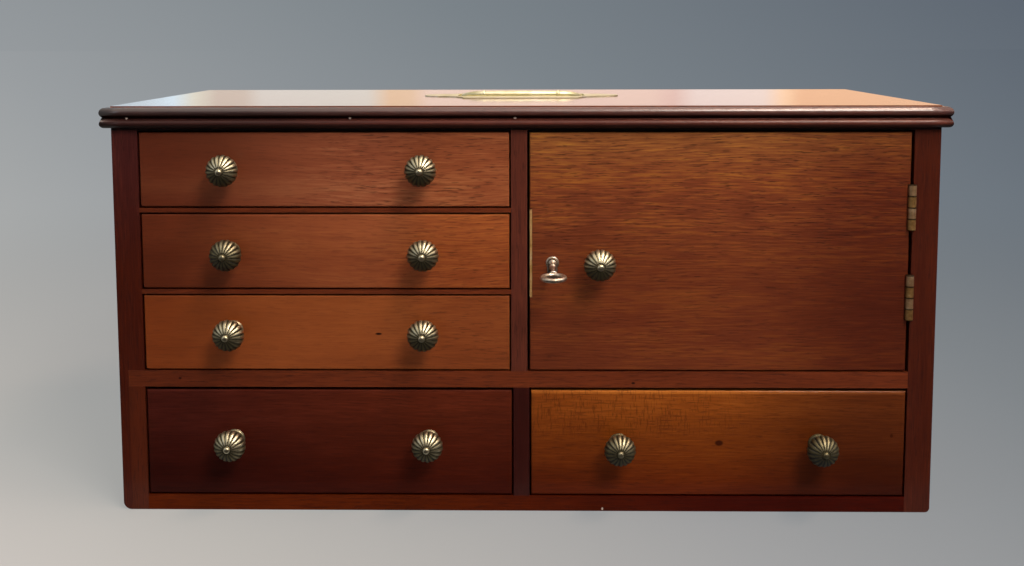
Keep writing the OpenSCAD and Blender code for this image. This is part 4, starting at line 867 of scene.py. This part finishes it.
def buildKey():
    escutcheonLow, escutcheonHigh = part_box("keyhole_escutcheon")
    lockX = (escutcheonLow[0] + escutcheonHigh[0]) / 2
    holeZ = escutcheonHigh[2] - key["holeDrop"] * mm
    droop = math.radians(key["droop"])
    axes = ((1, 0, 0), (0, -math.sin(droop), math.cos(droop)), (0, -math.cos(droop), -math.sin(droop)))
    origin = (lockX, frontY + key["pivotIn"] * mm, holeZ + key["pivotIn"] * math.tan(droop) * mm)
    around = np.linspace(0, 2 * np.pi, key["sides"], endpoint=False)
    # pipe and shank: the profile's radius and height carried round the key's own line
    corners = np.array(key["profile"])
    sharp = key["sharpCorners"]
    turned = np.concatenate([corners[:sharp], smoothPath(corners[sharp:], key["profileSteps"])])
    radius, height = turned[:, :1], turned[:, 1:]
    shank = np.stack([radius * np.cos(around), radius * np.sin(around), height + 0 * around], -1)
    # bow: a ring of round wire, thicker at its far edge where fingers have not worn it
    ringAngle = np.linspace(0, 2 * np.pi, key["bowSteps"] + 1)[:, None]
    wire = key["bowWire"] * (1 - key["bowWear"] + key["bowWear"] * np.cos(ringAngle))
    reach = key["bowRadius"] + wire * np.cos(around)
    bow = np.stack([reach * np.sin(ringAngle), wire * np.sin(around) + 0 * ringAngle,
                    key["bowReach"] + reach * np.cos(ringAngle)], -1)
    # bit: a flat tongue with rounded edges, its section a squared circle carried out from the pipe
    wide, thick, long = key["bit"]
    circle = np.stack([np.cos(around), np.sin(around)])
    squareOut, squareUp = np.sign(circle) * np.abs(circle) ** key["bitSquareness"]
    aside = np.array([key["bitRoot"], wide - key["bitRound"], wide])[:, None]
    squeeze = np.array([1.0, 1.0, key["bitSqueeze"]])[:, None]
    bit = np.stack([aside + 0 * around, squareUp * thick / 2 * squeeze,
                    key["bitStart"] + long / 2 * (1 + squareOut * squeeze)], -1)
    piece = gridMesh("turned_key", [placed(grid, origin, axes) for grid in (shank, bow, bit)], keyFinish)
    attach(piece, "key")
    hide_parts("key")


# keyhole escutcheon: a cast ring let into the door, its edge rounded over by wear

escutcheon = {
    "holeRadius": 3.1,
    "slotHalf": 2.1,
    "slotDrop": 5.6,
    "wall": 1.4,
    "proud": 0.8,
    "depth": 3.0,
    "edgeSteps": 13,
    "edgePower": 0.8,
    "roundSteps": 28,
    "flankSteps": 8,
}


def keyholeOutline(grow):
    # a round hole over a slot with a round end, every size larger by grow; the points go once round
    steps = escutcheon["roundSteps"]
    radius = escutcheon["holeRadius"] + grow
    half = escutcheon["slotHalf"] + grow
    foot = -escutcheon["slotDrop"]
    meet = math.asin(half / radius)
    joinZ = -radius * math.cos(meet)
    top = np.linspace(-np.pi / 2 + meet, 1.5 * np.pi - meet, 2 * steps)
    end = np.linspace(np.pi, 2 * np.pi, steps)
    drop = np.linspace(0, 1, escutcheon["flankSteps"])[1:-1]
    flank = np.full(len(drop), half)
    x = np.concatenate([radius * np.cos(top), -flank, half * np.cos(end), flank])
    z = np.concatenate([radius * np.sin(top), joinZ + (foot - joinZ) * drop, foot + half * np.sin(end),
                        foot + (joinZ - foot) * drop])
    return np.stack([x, z], -1)


def buildEscutcheon():
    low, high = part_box("keyhole_escutcheon")
    wall = escutcheon["wall"]
    centre = ((low[0] + high[0]) / 2, frontY, high[2] - (escutcheon["holeRadius"] + wall) * mm)
    # the ring's section goes from its outer foot over the rounded edge to the hole, then round the back
    turn = np.linspace(0, np.pi, escutcheon["edgeSteps"])
    back = escutcheon["proud"] - escutcheon["depth"]
    growth = np.concatenate([[wall], wall / 2 * (1 + np.cos(turn)), [0.0, wall]])
    edge = escutcheon["proud"] * np.sin(turn) ** escutcheon["edgePower"]
    rise = np.concatenate([[back], edge, [back, back]])
    rings = []
    for grow, level in zip(growth, rise):
        outline = keyholeOutline(grow)
        rings.append(np.concatenate([outline, np.full((len(outline), 1), level)], 1))
    piece = gridMesh("cast_escutcheon", [placed(np.array(rings), centre, upright)], keyFinish)
    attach(piece, "door")
    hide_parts("keyhole_escutcheon")


buildKey()
buildEscutcheon()
print("key and escutcheon built")


# edge moulding: two beads with a quirk between them, mitred at the front corners

moulding = {
    "out": 6.0,
    "upperRadius": 3.5,
    "lowerRadius": 2.9,
    "drop": 0.8,
    "quirk": 1.1,
    "gap": 0.1,
    "lowerArc": (-90, 80, 28),
    "upperArc": (-80, 130, 34),
    "backRise": 0.4,
    "rows": 40,
}


def mouldingSection():
    # two arcs, the upper one above the lower, each round its own centre; out from the case and up, in mm
    upperR = moulding["upperRadius"]
    lowerR = moulding["lowerRadius"]
    gap = moulding["gap"]
    upperC = (moulding["out"] - upperR, topZ / mm - moulding["drop"] - upperR)
    lowerC = (moulding["out"] - lowerR, upperC[1] - upperR - lowerR - moulding["quirk"])
    lower = np.radians(np.linspace(*moulding["lowerArc"]))
    upper = np.radians(np.linspace(*moulding["upperArc"]))
    lowerOut, lowerUp = lowerC[0] + lowerR * np.cos(lower), lowerC[1] + lowerR * np.sin(lower)
    upperOut, upperUp = upperC[0] + upperR * np.cos(upper), upperC[1] + upperR * np.sin(upper)
    out = np.concatenate([[gap], lowerOut, upperOut, [gap]])
    foot = lowerC[1] - lowerR
    head = upperC[1] + upperR * moulding["backRise"]
    up = np.concatenate([[foot], lowerUp, upperUp, [head]])
    return out, up


def buildMoulding():
    out, up = mouldingSection()
    share = np.linspace(0, 1, moulding["rows"])[:, None]
    left, right, front, back = [plane / mm for plane in (leftX, rightX, frontY, backY)]
    gap = moulding["gap"] / 2
    level = up + 0 * share
    # front: x runs between the two mitres, which stand further out as the section does
    x = (left - out + gap) * (1 - share) + (right + out - gap) * share
    frontGrid = np.stack([x, front - out + 0 * share, level], -1)
    # sides: y runs from the mitre to the back
    y = (front - out + gap) * (1 - share) + back * share
    leftGrid = np.stack([left - out + 0 * share, y, level], -1)[::-1]
    rightGrid = np.stack([right + out + 0 * share, y, level], -1)
    runs = {"moulding_front": (frontGrid, mouldingFinish), "moulding_left": (leftGrid, mouldingEndFinish),
            "moulding_right": (rightGrid, mouldingEndFinish)}
    for node, (grid, finish) in runs.items():
        piece = gridMesh(node + "_run", [grid * mm], finish)
        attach(piece, "case")
        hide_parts(node)


buildMoulding()
print("moulding built")
